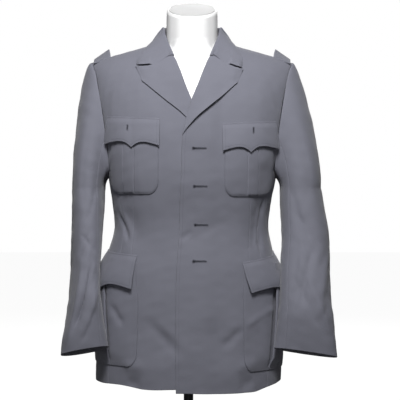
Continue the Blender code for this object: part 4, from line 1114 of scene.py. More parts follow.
def sleeve_grid(side, angles):
    """Inner and outer face of a sleeve, as rows from the armhole to the cuff."""
    start, radial = armhole_loop(side, angles)
    end = sleeve_ring(side, angles, BICEP_Z)
    reach = np.linalg.norm(end - start, axis=-1, keepdims=True)
    first = start + np.array([side, 0, 0]) * CAP_PUSH[side] * (0.25 + reach)
    full = np.clip(np.cos(angles), 0, 1)[:, None] ** 1.5
    first = first + radial * SLEEVE_ROPE * full + np.array([side, 0, 0]) * 0.003 * full
    last = end + np.array([0, 0, 1]) * reach * 0.42
    rows = []
    for t in np.concatenate([[0, 0.004, 0.01, 0.02], np.linspace(0.033, 1, 58)]):
        rows.append((1 - t) ** 3 * start + 3 * (1 - t) ** 2 * t * first + 3 * (1 - t) * t**2 * last + t**3 * end)
    length = BICEP_Z - CUFF_Z[side]
    down = np.concatenate([np.linspace(0, 1 - 0.007 / length, 82)[1:], 1 - np.array([0.0035, 0.0018, 0.0007, 0]) / length])
    for share in down:
        rows.append(sleeve_ring(side, angles, BICEP_Z - length * share))
    inner = np.array(rows)
    out = side * grid_normals(inner)
    out[0] = radial
    wave = soft_waves(inner, 0.0007, 11) + soft_waves(inner, 0.00026, 12, 0.018, 0.045)
    inner = inner + out * wave[..., None] * smooth(np.arange(len(rows)) / 9)[:, None, None]
    return inner, out


def dress_sleeve(side):
    seam = math.radians(0.12)
    spans = {
        "top_sleeve": (BACK_SLEEVE_SEAM - 360, FRONT_SLEEVE_SEAM),
        "under_sleeve": (FRONT_SLEEVE_SEAM, BACK_SLEEVE_SEAM),
    }
    for name, (first, last) in spans.items():
        length = math.radians(last - first) * 0.062
        angles = mix(math.radians(first) + seam, math.radians(last) - seam, stations(length))
        inner, out = sleeve_grid(side, angles)
        dip = seam_dip((arc(inner, 1), arc(inner, 0)), ("start", "end", "bottom"))
        outer = inner + out * (CLOTH - dip)[..., None]
        cloth(f"{name}_{side_name(side)}", inner, outer, "hung", ["dress_form_shell"])


# Lapels, pockets and flaps
def layer_points(side, angle, level, low):
    return cloth_point(side, angle, level, over_lift(side, shell(angle, level)) + low)


GORGE_TOP = 0.8515  # where the lapel's top edge meets the roll line
GORGE_SAG = {1: 0.0047, -1: 0.0085}  # how far that edge dips below the straight line to its corner


def gorge_line(side, share):
    """x and z of the lapel's top edge, from the roll line to its corner."""
    start_x = float(roll_foot(GORGE_TOP))
    end_x, end_z = LAPEL_EDGE[side]["x"](1.0), LAPEL_EDGE[side]["z"](1.0)
    return mix(start_x, end_x, share), mix(GORGE_TOP, end_z, share) - GORGE_SAG[side] * np.sin(math.pi * share)


NOTCH_DROP = 0.0035  # how far the lapel's corner at the notch hangs below the pattern's
GORGE = {}  # x and z along the top edge of each dressed lapel


def dress_lapel(side):
    along = stations(0.19)
    across = stations(0.10, 0.0032)
    roll_z = mix(BREAK_Z, GORGE_TOP, along)
    roll_x = roll_foot(roll_z)
    edge_x, edge_z = LAPEL_EDGE[side]["x"](along), LAPEL_EDGE[side]["z"](along)
    x = mix(roll_x[:, None], edge_x[:, None], across[None, :])
    z = mix(roll_z[:, None], edge_z[:, None], across[None, :])
    z = z - GORGE_SAG[side] * np.sin(math.pi * across)[None, :] * smooth((along[:, None] - 0.72) / 0.28)
    z = z - NOTCH_DROP * across[None, :] * smooth((along[:, None] - 0.80) / 0.20)
    angle, level = on_front(x, z)
    curl = LAPEL_CURL[side]["lift"](along)[:, None] * across[None, :] ** 1.6
    turn = roll_turn(roll_z)[:, None]
    low = LAYER + 0.0002 + (2 * turn - 0.0024) * (1 - across[None, :]) ** 2 + curl
    flat = layer_points(side, angle, level, low + CLOTH / 2)
    foot = layer_points(side, angle[:, :1], level[:, :1], np.full((len(along), 1), CLOTH / 2))[:, 0]
    out = flat[:, 0] - foot
    radius = np.linalg.norm(out, axis=-1, keepdims=True) / 2
    out = out / (2 * radius)
    ahead = flat[:, 1] - flat[:, 0]
    ahead = ahead / np.linalg.norm(ahead, axis=-1, keepdims=True)
    roll = []
    for turn in (35, 62, 90, 118, 146):
        a = math.radians(turn)
        roll.append(foot + out * radius * (1 - math.cos(a)) - ahead * radius * 1.1 * math.sin(a))
    middle = np.concatenate([np.stack(roll, 1), flat], 1)
    normal = grid_normals(middle)
    normal *= np.sign(np.mean(np.sum(normal[:, -20:] * np.array([0, -1, 0]), -1)))
    from_edge = arc(middle, 1)[:, -1:] - arc(middle, 1)
    thin = 0.85 * np.exp(-((from_edge / 0.0100) ** 2)) * smooth((along[:, None] - 0.76) / 0.04) * smooth((1 - along[:, None]) / 0.03)
    middle = middle - normal * ((CLOTH / 2 + 0.0008) * thin)[..., None]
    half = normal * (CLOTH / 2 * (1 - thin))[..., None]
    top = middle[-1, 5:]
    GORGE[side] = side * (top[:, 0] - BODY["centre_x"](top[:, 2])), top[:, 2]
    cloth(f"lapel_{side_name(side)}", middle - half, middle + half, "folded", [f"front_{side_name(side)}_cloth"])


LAPEL_CURL = {
    # How far a lapel's outer edge stands off, along it from the break to the notch.
    1: table("along lift", (0.0, 0.0006), (0.08, 0.0036), (0.25, 0.0052), (0.45, 0.0044), (0.70, 0.0010), (0.88, 0.0006), (1.0, 0.0020)),
    -1: table("along lift", (0.0, 0.0006), (0.10, 0.0010), (0.45, 0.0011), (0.75, 0.0007), (0.88, 0.0006), (1.0, 0.0020)),
}


def sewn_down(distance, reach=0.0028):
    """0 at a sewn edge, 1 away from it."""
    return np.clip(1 - np.exp(-((distance / reach) ** 2)), 0, 1)


BELLOWS = {
    # Heights of the pouch ahead of the hip pleat, of the pleat's open fold and of the cloth behind it.
    1: (0.0040, 0.0118, 0.0030),
    -1: (0.0034, 0.0058, 0.0012),
}


def pleat_columns(centre, width, pouch, fold, behind):
    """Shares across a bag and heights over it: a pouch, a dark hollow, the overhanging pleat, the rest."""
    start = centre - (PLEAT_HALF + 0.0048) / width
    profile = [
        # from the pouch's end, flat place, height
        (0.0000, 0.0000, pouch),
        (0.0011, 0.0006, pouch - 0.0005),
        (0.0015, 0.0012, pouch - 0.0015),
        (0.0017, 0.0018, pouch * 0.3),
        (0.0027, 0.0024, 0.0),
        (0.0080, 0.0029, 0.0),
        (0.0150, 0.0034, 0.0),
        (0.0205, 0.0039, 0.0003),
        (0.0218, 0.0044, 0.0013),
        (0.0210, 0.0049, 0.0028),
        (0.0155, 0.0054, max(0.0031, fold * 0.46)),
        (0.0100, 0.0059, max(0.0036, fold * 0.65)),
        (0.0058, 0.0064, fold - 0.0020),
        (0.0048, 0.0069, fold - 0.0007),
        (0.0055, 0.0075, fold + 0.0003),
        (0.0072, 0.0085, fold + 0.0006),
        (0.0110, 0.0115, fold + 0.0006),
        (0.0160, 0.0160, fold + 0.0004),
        (0.0210, 0.0210, fold + 0.0002),
        (0.0260, 0.0260, fold),
        (0.0298, 0.0295, fold - 0.0002),
        (0.0310, 0.0308, fold - 0.0010),
        (0.0315, 0.0315, mix(behind, fold, 0.5)),
        (0.0320, 0.0322, behind + 0.0008),
        (0.0332, 0.0332, behind),
    ]
    open_at, flat_at, height = np.array(profile).T
    before = np.linspace(0.0070 / width, start - 0.0030 / width, 18)
    edge = np.array([0, 0.0007, 0.0016, 0.003, 0.005]) / width
    after = np.linspace(start + 0.0365 / width, 1 - 0.0070 / width, 14)
    first, last = np.concatenate([edge, before]), np.concatenate([after, 1 - edge[::-1]])
    opened = np.concatenate([first, start + open_at / width, last])
    flat = np.concatenate([first, start + flat_at / width, last])
    rest = behind * smooth((1 - last) / 0.3)
    return opened, flat, np.concatenate([pouch * smooth(first / start), height, rest])


def dress_bag(node, side, angle_of, edges, pleat, width, top, bottom, slope, swept=(0.0, 0.0), bellows=None):
    span = edges[1] - edges[0]
    centre = (pleat - edges[0]) / span
    down = stations(top - bottom)[::-1, None]
    shut = np.ones(down.shape)
    if bellows:
        opened, shares, height = pleat_columns(centre, width, *bellows)
        shut = mix(0.55, 1.0, smooth(down / 0.3)) * smooth((1 - down) / 0.13)
        height = height[None, :] * shut
        shares = mix(shares[None, :], opened[None, :], smooth(shut / 0.6))
    else:
        fine = np.array([-0.0030, -0.0016, -0.0008, 0.0, 0.0008, 0.0016, 0.0030]) / width
        ends = np.array([0, 0.0007, 0.0016, 0.003, 0.005]) / width
        half = PLEAT_HALF / width
        shares = np.concatenate([ends, 1 - ends, centre - half + fine, centre + half + fine])
        shares = np.concatenate([shares, np.linspace(0.0085 / width, 1 - 0.0085 / width, int(width / 0.0036))])
        shares = np.unique(np.round(shares, 5))[None, :]
        off_pleat = np.abs(shares - centre) * width - PLEAT_HALF
        box = 0.0012 * smooth(0.5 - off_pleat / 0.0009) - 0.0016 * np.exp(-(((off_pleat - 0.0008) / 0.0007) ** 2))
        height = box + 0.0009 * np.sin(math.pi * shares) ** 0.6 * np.ones(down.shape)
        shares = shares * np.ones(down.shape)
    z_top = top + slope * shares - 0.012
    z = mix(z_top, bag_bottom(shares, width, bottom, 0.026), down)
    angle = angle_of(edges[0] + span * shares, z) + sweep(shares, z, top, bottom, *swept)
    level = level_at(angle, z)
    across = shares * width
    edge = np.minimum(np.minimum(across, width - across), z - z[:1])
    raised = sewn_down(edge, 0.0028) * (1 if bellows else smooth((z[-1:] - z + 0.003) / 0.046))
    low = CLOTH + 0.0002 + (height + 0.0004) * raised
    stitch = 0.0003 * np.exp(-(((edge - 0.0017) / 0.0006) ** 2))
    middle = layer_points(side, angle, level, low + CLOTH / 2)
    if not bellows:
        inner = layer_points(side, angle, level, low)
        outer = layer_points(side, angle, level, low + CLOTH - stitch)
        return cloth(node, inner, outer, "laid", [f"front_{side_name(side)}_cloth"])
    out = grid_normals(middle)
    away = middle - np.array([0.0077, 0.0, 0.0])
    out = out * np.sign(np.sum(out[:, :15] * away[:, :15] * np.array([1, 1, 0]), -1).mean())
    offset = out * (CLOTH / 2 - stitch[..., None] / 2)
    return cloth(node, middle - offset, middle + offset, "laid", [f"front_{side_name(side)}_cloth"])


def flap_depth(shares, point):
    """Depth of a flap's edge, falling to a point."""
    away = np.where(shares < point, (point - shares) / point, (shares - point) / (1 - point))
    return FLAP_HALF["depth"](away)


FLAP_HALF = table(
    "from_middle depth",
    (0.00, 1.075),
    (0.10, 0.985),
    (0.24, 0.905),
    (0.44, 0.868),
    (0.72, 0.905),
    (1.00, 0.970),
)


def flap_rise(from_top, depth):
    """Height of a flap's inner face over the body, at a distance from its top edge."""
    return CLOTH + 0.0002 + 0.0022 * smooth(from_top / 0.014) + 0.0030 * smooth(from_top / depth)


def dress_flap(node, side, angle_of, edges, width, depth, top, slope, stand, point=0.5, tilt=(0.0, 0.0), slant=0.0):
    """A flap, whose lower edge stands off by the first of two heights at its start, the other at its end.

    The point is a share of its width, the tilt raises its top edge at its start and by its end, and the
    slant is the number of degrees by which its front edge runs back."""
    shares = stations(width)
    shares = np.unique(np.concatenate([shares, point + np.array([-0.0022, -0.001, 0, 0.001, 0.0022]) / width]))
    down = stations(depth, 0.0036)
    z_top = top + slope * shares
    raise_top = tilt[0] + (tilt[1] - tilt[0]) * shares
    z = z_top + raise_top - down[:, None] * (raise_top + depth * flap_depth(shares, point))[None, :]
    z = z[::-1]
    angle = angle_of(edges[0] + (edges[1] - edges[0]) * shares[None, :] + 0 * z, z)
    angle = angle + math.radians(slant) * down[::-1, None] ** 1.5 * (1 - shares[None, :])
    level = level_at(angle, z)
    from_top = down[::-1, None] * depth
    lean = mix(stand[0], stand[1], smooth(shares / 0.55))[None, :] * smooth(from_top / depth)
    low = flap_rise(from_top, depth) + lean
    across, along = arc(layer_points(side, angle, level, low), 1), from_top * np.ones(z.shape)
    edge = np.minimum(np.minimum(across, across[:, -1:] - across), along[:1] - along)
    stitch = 0.0003 * np.exp(-(((edge - 0.0050) / 0.0007) ** 2)) + 0.0004 * np.exp(-(((along - 0.0022) / 0.0007) ** 2))
    inner = layer_points(side, angle, level, low)
    outer = layer_points(side, angle, level, low + CLOTH - stitch)
    return cloth(node, inner, outer, "hung", [node.replace("flap", "pocket") + "_cloth"])


def dress_pockets(side):
    name = side_name(side)
    bag, flap = BREAST[side]["bag"], BREAST[side]["flap"]
    pleat, top, bottom = BREAST[side]["pleat"], BREAST[side]["top"], BREAST[side]["bottom"]
    dress_bag(f"breast_pocket_{name}", side, angle_from_x, bag, pleat, 0.128, top, bottom, BREAST_SLOPE)
    stand = (0.0008, 0.0016)
    dress_flap(f"breast_flap_{name}", side, angle_from_x, flap, 0.135, BREAST_FLAP, top, BREAST_SLOPE, stand)
    bag, flap, turn = HIP[side]["bag"], HIP[side]["flap"], angle_from_degrees
    pleat, top, bottom = HIP[side]["pleat"], HIP[side]["top"], HIP[side]["bottom"]
    swept = (HIP_SWEEP, HIP_BOW[side])
    dress_bag(f"hip_pocket_{name}", side, turn, bag, pleat, 0.195, top, bottom, HIP_SLOPE, swept, BELLOWS[side])
    dress_flap(f"hip_flap_{name}", side, turn, flap, 0.197, HIP_FLAP, top, HIP_SLOPE, *HIP_HANG[side])


HIP_HANG = {
    # stand, point, tilt and slant of each hip flap
    1: ((0.0040, 0.0125), 0.5, (-0.0030, 0.0120), 4.4),
    -1: ((0.0045, 0.0072), 0.42, (0.0034, 0.0060), 0.0),
}


# Collar and shoulder tabs
FALL = np.concatenate([np.linspace(0.06, 0.44, 7), np.linspace(0.48, 0.62, 6), np.linspace(0.67, 0.96, 6), [0.98, 1.0]])


def collar_section(station, side, drops):
    """Middle of the collar at a station: up the stand, over the roll and down the fall."""
    foot = collar_foot(station)
    roll = np.array([COLLAR_ROLL[k](station) for k in "xyz"])
    edge = np.array([COLLAR_EDGE[side][k](station) for k in "xyz"])
    flat = float(smooth((station - 3.4) / 1.2))
    clear = LAYER + COLLAR_HALF
    raised = clear + 0.0038 * float(smooth((station - 4.7) / 0.4)) * (1 - 0.8 * smooth((FALL - 0.91) / 0.09))
    edge = rest_on(edge, clear, flat)
    up = roll - foot
    up = up / np.linalg.norm(up)
    out = edge - roll
    out = out - up * (out @ up)
    out = out / np.linalg.norm(out)
    r = ROLL_RADIUS
    section = [mix(foot, roll - up * r, t) for t in (0, 0.25, 0.5, 0.75)]
    for turn in range(180, -1, -20):
        a = math.radians(turn)
        section.append(roll - up * r + out * (r + r * math.cos(a)) + up * r * math.sin(a))
    fall = mix(section[-1], edge, FALL[:, None]) + out * 0.0016 * np.sin(math.pi * FALL)[:, None]
    end = float(smooth((station - 4.3) / 0.9))
    fall[:, 2] -= drops * end
    flush = LAYER + 0.0002 + (2 * roll_turn(0.85) - 0.0024) * (1 - FALL) ** 2 + CLOTH / 2
    flush = mix(flush, raised, smooth((FALL - 0.48) / 0.10))
    return np.concatenate([section, rest_on(fall, mix(raised, flush, end), flat)])


def notch_drops(side):
    """How far the points of the collar's end are lowered, to lie along the lapel's top edge."""
    drops = 0 * FALL
    gap = 0.0001 + NOTCH_GAP * smooth((FALL - 0.50) / 0.10)
    for _ in range(4):
        end = collar_section(COLLAR_END, side, drops)[-len(FALL):]
        drops = drops + end[:, 2] - np.interp(end[:, 0], *GORGE[side]) - gap
    return drops


NOTCH_GAP = 0.0042


def dress_collar():
    half = np.concatenate([np.linspace(0, COLLAR_END - 0.045, 78), COLLAR_END - np.array([0.022, 0.011, 0.004, 0.0])])
    drops = {side: notch_drops(side) for side in (1, -1)}
    sections = [place(-1, collar_section(k, -1, drops[-1])) for k in half[:0:-1]]
    sections += [place(1, collar_section(k, 1, drops[1])) for k in half]
    middle = np.stack(sections, 1)
    out = grid_normals(middle)
    from_edge = arc(middle, 0)[-1:] - arc(middle, 0)
    stations_on = np.concatenate([half[:0:-1], half])
    thin = 0.7 * np.exp(-((from_edge / 0.0080) ** 2)) * smooth((stations_on[None, :] - 3.9) / 0.6)
    middle = middle - out * (COLLAR_HALF * thin)[..., None]
    offset = out * (COLLAR_HALF * (1 - thin))[..., None]
    cloth("collar", middle - offset, middle + offset, "folded", ["dress_form_shell"], True)


def dress_shoulder_tab(side):
    across, along = stations(0.047, 0.003), stations(0.042, 0.003)
    rows = []
    for t in along:
        start, end = mix(SHOULDER_TAB[0][0], SHOULDER_TAB[1][0], t), mix(SHOULDER_TAB[0][1], SHOULDER_TAB[1][1], t)
        row = mix(start[None, :], end[None, :], across[:, None])
        row[:, 2] += 0.0015 * np.sin(math.pi * across) - 0.0030 * (1 - across) * math.sqrt(t)
        rows.append(row)
    middle = place(side, np.array(rows))
    out = grid_normals(middle)
    out *= np.sign(out[..., 2].mean())
    half = STRAP_CLOTH / 2
    distance = np.minimum(
        np.minimum(arc(middle, 1), arc(middle, 1)[:, -1:] - arc(middle, 1)),
        np.minimum(arc(middle, 0), arc(middle, 0)[-1:] - arc(middle, 0)),
    )
    swell = mix(0.45, 1.0, sewn_down(distance, 0.0016)) - 0.22 * np.exp(-(((distance - 0.0045) / 0.0008) ** 2))
    offset = (half * swell)[..., None] * out
    cloth(f"shoulder_tab_{side_name(side)}", middle - offset, middle + offset, "laid", [f"front_{side_name(side)}_cloth"])


# Dress form and stand
def ring_piece(name, rows, material_made, slot, *nodes):
    """A closed turned or lofted shape from rings of points, its first and last ring closed by fans."""
    rows = np.array(rows)
    count, steps = rows.shape[:2]
    points = np.concatenate([rows.reshape(-1, 3), rows[0].mean(0)[None], rows[-1].mean(0)[None]])
    faces = []
    for j in range(count - 1):
        for i in range(steps):
            k = (i + 1) % steps
            faces.append((j * steps + i, j * steps + k, (j + 1) * steps + k, (j + 1) * steps + i))
    for i in range(steps):
        k = (i + 1) % steps
        faces.append((count * steps, k, i))
        faces.append((count * steps + 1, (count - 1) * steps + i, (count - 1) * steps + k))
    made = mesh_piece(name, points, faces)
    made.data.set_sharp_from_angle(angle=math.radians(50))
    made.data.materials.append(material_made)
    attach(made, "root")
    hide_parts(*nodes)
    return made


RIM_FILLET = 0.0045  # rounding of the neck's top edge


def dress_stand():
    angles = np.radians(np.arange(0, 360, 2.5))
    heights = np.concatenate([np.linspace(FORM_BOTTOM_Z + 0.004, 0.80, 70), np.linspace(0.803, 0.952, 84)])
    rows = []
    for inset, lift in ((0.012, 0.0), (0.006, 0.0006), (0.002, 0.002)):
        flat = form_radius(angles, FORM_BOTTOM_Z) - inset
        rows.append(np.stack([flat * np.cos(angles), flat * np.sin(angles), 0 * angles + FORM_BOTTOM_Z + lift], -1))
    for z in heights:
        body = form_radius(angles, z)
        half, deep = NECK["half_width"](z), NECK["half_depth"](z)
        neck = 1 / np.hypot(np.cos(angles) / half, np.sin(angles) / deep)
        soft = 0.003 * smooth((z - 0.8) / 0.02) + 0.020 * smooth((z - 0.81) / 0.06) * smooth((-np.sin(angles) - 0.60) / 0.3)
        radius = (body + neck + np.sqrt((body - neck) ** 2 + soft**2)) / 2 if z > 0.8 else body
        height = 0 * angles + z
        top = NECK_TOP_Z + NECK_TOP_TILT * radius * np.sin(angles)
        squash = smooth((z - 0.90) / (0.952 - 0.90))
        height = mix(height, top - RIM_FILLET, squash)
        rows.append(np.stack([radius * np.cos(angles), radius * np.sin(angles), height], -1))
    for turn in (15, 30, 45, 60, 75, 90):
        grow = 1 - RIM_FILLET / 0.056 * (1 - math.cos(math.radians(turn)))
        drop = RIM_FILLET * (1 - math.sin(math.radians(turn)))
        x = grow * NECK["half_width"](0.96) * np.cos(angles)
        y = grow * NECK["half_depth"](0.96) * np.sin(angles)
        rows.append(np.stack([x, y, NECK_TOP_Z + NECK_TOP_TILT * y - drop], -1))
    ring_piece("dress_form_shell", place(1, np.array(rows)), FORM_WHITE, "form_white", "dress_form")
    rows = []
    for grow, lift in ((0.86, -0.0004), (0.915, 0.0), (0.921, 0.0005), (0.919, 0.0011), (0.911, 0.0015), (0.88, 0.0016)):
        x = grow * NECK["half_width"](0.96) * np.cos(angles)
        y = grow * NECK["half_depth"](0.96) * np.sin(angles)
        rows.append(np.stack([x, y, NECK_TOP_Z + NECK_TOP_TILT * y + lift], -1))
    # The neck plate takes the grey painted-shade white.
    ring_piece("neck_plate", place(1, np.array(rows)), CAP_WHITE_PAINTED_SHADE, "form_white", "neck_cap")

    def turned(name, profile, material_made, slot, node):
        spin = [np.stack([r * np.cos(angles), r * np.sin(angles), 0 * angles + z], -1) for r, z in profile]
        ring_piece(name, spin, material_made, slot, node)

    r, h = BASE_RADIUS, BASE_HEIGHT
    bore = POLE_RADIUS + 0.0005
    rim = [(r - 0.0015 + 0.0015 * math.sin(a), 0.0015 - 0.0015 * math.cos(a)) for a in np.radians([0, 30, 60, 90])]
    shoulder = [(r - 0.004 + 0.004 * math.cos(a), h - 0.004 + 0.004 * math.sin(a)) for a in np.radians(range(0, 91, 15))]
    fillet = [(SOCKET_RADIUS + 0.004 - 0.004 * math.sin(a), h + 0.004 - 0.004 * math.cos(a)) for a in np.radians(range(0, 91, 15))]
    lip = [(SOCKET_RADIUS - 0.0025 + 0.0025 * math.cos(a), SOCKET_HEIGHT - 0.0025 + 0.0025 * math.sin(a)) for a in np.radians(range(0, 91, 18))]
    mouth = [(bore + 0.001, SOCKET_HEIGHT), (bore, SOCKET_HEIGHT - 0.001), (bore, 0.0031), (0.004, 0.0031)]
    turned("base_plate", [(0.02, 0.0)] + rim + shoulder + fillet + lip + mouth, BASE_BLACK, "base_black", "base")
    top = FORM_BOTTOM_Z - 0.0005
    pole = [(0.004, 0.0036), (POLE_RADIUS - 0.001, 0.0036), (POLE_RADIUS, 0.0046)]
    pole += [(POLE_RADIUS, z) for z in np.linspace(0.02, top - 0.01, 12)]
    pole += [(POLE_RADIUS, top - 0.001), (POLE_RADIUS - 0.001, top), (0.004, top)]
    turned("pole_tube", pole, STEEL, "steel", "pole")


# Stitches: paths on the cloth, each a line of points with the way out of the cloth at each
PATHS = {"seam": [], "hole": []}


def cloth_normals(grid):
    out = grid_normals(grid)
    centre = grid.reshape(-1, 3).mean(0) * np.array([0, 0, 1])
    return out * np.sign(np.mean(np.sum(out * (grid - centre) * np.array([1, 1, 0.3]), -1)))


def inset_path(piece, edge, inset, trim=(0.0, 0.0), kind="seam"):
    """A stitch path that runs beside one edge of a piece's outer grid."""
    grid = GRIDS[piece]
    normal = cloth_normals(grid)
    if edge in ("bottom", "top"):
        grid, normal = grid.transpose(1, 0, 2), normal.transpose(1, 0, 2)
    if edge in ("end", "top"):
        grid, normal = grid[:, ::-1], normal[:, ::-1]
    away = arc(grid, 1)
    points = np.array([[np.interp(inset, a, row[:, k]) for k in range(3)] for a, row in zip(away, grid)])
    out = np.array([[np.interp(inset, a, row[:, k]) for k in range(3)] for a, row in zip(away, normal)])
    run = arc(points[None], 1)[0]
    keep = (run >= trim[0]) & (run <= run[-1] - trim[1])
    PATHS[kind].append((points[keep], out[keep]))


def add_paths(side):
    name = side_name(side)
    for where, low in (("breast", 0.004), ("hip", 0.004)):
        bag, flap = f"{where}_pocket_{name}_cloth", f"{where}_flap_{name}_cloth"
        for edge in ("start", "end", "bottom"):
            inset_path(bag, edge, 0.0017, (0.002, 0.002))
        inset_path(flap, "top", 0.0022, (0.002, 0.002))
        inset_path(flap, "bottom", 0.0050, (low, low))
        inset_path(flap, "start", 0.0050, (low, low))
        inset_path(flap, "end", 0.0050, (low, low))
    inset_path(f"front_{name}_cloth", "start", 0.0060, (0.004, 0.235))
    for edge in ("start", "end", "top"):
        inset_path(f"shoulder_tab_{name}_cloth", edge, 0.0045, (0.004, 0.004))


# Buttonholes: x from the centre line, height, way of the slit and length
BUTTONHOLES = (
    (0.0158, 0.6529, "level", 0.027),
    (0.0178, 0.5751, "level", 0.027),
    (0.0202, 0.4938, "level", 0.027),
    (0.0202, 0.4177, "level", 0.027),
)
FLAP_HOLES = {1: (0.1262, 0.6860), -1: (0.1315, 0.6910)}


def surface_at(side, x, z, offset):
    """Point, way out, way along x and way up on the front, at x from the centre line and height z."""
    step = 0.002

    def at(dx, dz):
        angle, level = on_front(np.array([x + dx]), np.array([z + dz]))
        return layer_points(side, angle, level, np.array([offset]))[0]

    point = at(0, 0)
    along, up = at(step, 0) - at(-step, 0), at(0, step) - at(0, -step)
    along, up = along / np.linalg.norm(along), up / np.linalg.norm(up)
    out = np.cross(along, up)
    return point, out * np.sign(-out[1]), along, up


def buttonhole(side, x, z, way, length, offset, eye_sign):
    """A worked buttonhole: a slit of near-black cloth standing as painted shade in its opening, with an eye at one end,
    inside a path of close stitches.
    """
    point, out, along, up = surface_at(side, x, z, offset)
    if way == "upright":
        along, up = up, -along
    along = along * eye_sign
    half = length / 2
    gap, eye = (0.0004, 0.0010) if way == "upright" else (0.0009, 0.0021)
    outline = [(-half, -gap * 0.4), (half - 2.6 * eye, -gap), *[(half - eye + eye * math.cos(a), eye * math.sin(a)) for a in np.radians(np.arange(-148, 149, 16))], (half - 2.6 * eye, gap), (-half, gap * 0.4)]
    flat = np.array(outline)
    ring = point + along * flat[:, :1] + up * flat[:, 1:]
    points = np.concatenate([ring + out * 0.0001, ring - out * 0.0012])
    n = len(ring)
    faces = [tuple(range(n)), tuple(range(2 * n - 1, n - 1, -1))]
    faces += [(i + n, (i + 1) % n + n, (i + 1) % n, i) for i in range(n)]
    HOLES.append((points, faces))
    grow = flat * np.array([1.0, 1.0]) + np.sign(flat) * np.array([0.0009, 0.0009])
    dense = []
    closed = np.concatenate([grow, grow[:1]])
    for a, b in zip(closed, closed[1:]):
        dense += [mix(a, b, t) for t in np.linspace(0, 1, 8)[:-1]]
    dense = np.array(dense + dense[:1])
    path = point + along * dense[:, :1] + up * dense[:, 1:] + out * 0.0002
    PATHS["hole"].append((path, np.broadcast_to(out, path.shape)))


HOLES = []


def add_buttonholes():
    for x, z, way, length in BUTTONHOLES:
        buttonhole(1, x, z, way, length, CLOTH, -1)
    for side, (x, z) in FLAP_HOLES.items():
        from_top = BREAST[side]["top"] + BREAST_SLOPE / 2 - z
        offset = flap_rise(from_top, BREAST_FLAP) + 0.0015 * smooth(from_top / BREAST_FLAP) + CLOTH
        buttonhole(side, x, z, "upright", 0.022, offset, -1)


def paths_mesh(name, paths):
    """All the stitch paths as one mesh of edges, with the way out of the cloth at each point."""
    points, edges, outs = [], [], []
    for line, out in paths:
        first = len(points)
        points += line.tolist()
        outs += out.tolist()
        edges += [(first + i, first + i + 1) for i in range(len(line) - 1)]
    mesh = bpy.data.meshes.new(name)
    mesh.from_pydata(points, edges, [])
    layer = mesh.attributes.new("out", "FLOAT_VECTOR", "POINT")
    layer.data.foreach_set("vector", np.array(outs, np.float32).ravel())
    made = bpy.data.objects.new(name, mesh)
    bpy.context.scene.collection.objects.link(made)
    return made


def stitch_tree():
    """Stitches along a path: one rounded thread a pitch, turned to the path and lying on the cloth."""
    tree = bpy.data.node_groups.new("thread_stitches", "GeometryNodeTree")
    face = tree.interface
    face.new_socket(name="Geometry", in_out="INPUT", socket_type="NodeSocketGeometry")
    sizes = (("Pitch", 0.003), ("Stitch Length", 0.0022), ("Thread", 0.00045), ("Turn", 0.0))
    for name, value in sizes:
        face.new_socket(name=name, in_out="INPUT", socket_type="NodeSocketFloat").default_value = value
    face.new_socket(name="Thread Material", in_out="INPUT", socket_type="NodeSocketMaterial")
    face.new_socket(name="Geometry", in_out="OUTPUT", socket_type="NodeSocketGeometry")
    given, out = node_of(tree, "NodeGroupInput"), node_of(tree, "NodeGroupOutput")
    line = node_of(tree, "GeometryNodeMeshToCurve")
    spaced = node_of(tree, "GeometryNodeResampleCurve", mode="LENGTH")
    ball = node_of(tree, "GeometryNodeMeshIcoSphere")
    ball.inputs["Radius"].default_value = 0.5
    ball.inputs["Subdivisions"].default_value = 1
    put = node_of(tree, "GeometryNodeInstanceOnPoints")
    size = node_of(tree, "ShaderNodeCombineXYZ")
    tangent = node_of(tree, "GeometryNodeInputTangent")
    outward = node_of(tree, "GeometryNodeInputNamedAttribute", data_type="FLOAT_VECTOR")
    outward.inputs["Name"].default_value = "out"
    first = node_of(tree, "FunctionNodeAlignRotationToVector", axis="X")
    second = node_of(tree, "FunctionNodeAlignRotationToVector", axis="Z", pivot_axis="X")
    turn = node_of(tree, "FunctionNodeRotateRotation", rotation_space="LOCAL")
    spin = node_of(tree, "FunctionNodeAxisAngleToRotation")
    spin.inputs["Axis"].default_value = (0, 0, 1)
    real = node_of(tree, "GeometryNodeRealizeInstances")
    paint = node_of(tree, "GeometryNodeSetMaterial")
    link = tree.links.new
    link(given.outputs["Geometry"], line.inputs["Mesh"])
    link(line.outputs["Curve"], spaced.inputs["Curve"])
    link(given.outputs["Pitch"], spaced.inputs["Length"])
    link(spaced.outputs["Curve"], put.inputs["Points"])
    link(ball.outputs["Mesh"], put.inputs["Instance"])
    link(given.outputs["Stitch Length"], size.inputs[0])
    link(given.outputs["Thread"], size.inputs[1])
    link(given.outputs["Thread"], size.inputs[2])
    link(size.outputs[0], put.inputs["Scale"])
    link(tangent.outputs[0], first.inputs["Vector"])
    link(first.outputs["Rotation"], second.inputs["Rotation"])
    link(outward.outputs["Attribute"], second.inputs["Vector"])
    link(second.outputs["Rotation"], turn.inputs["Rotation"])
    link(given.outputs["Turn"], spin.inputs["Angle"])
    link(spin.outputs["Rotation"], turn.inputs["Rotate By"])
    link(turn.outputs["Rotation"], put.inputs["Rotation"])
    link(put.outputs["Instances"], real.inputs["Geometry"])
    link(real.outputs["Geometry"], paint.inputs["Geometry"])
    link(given.outputs["Thread Material"], paint.inputs["Material"])
    link(paint.outputs["Geometry"], out.inputs["Geometry"])
    return tree


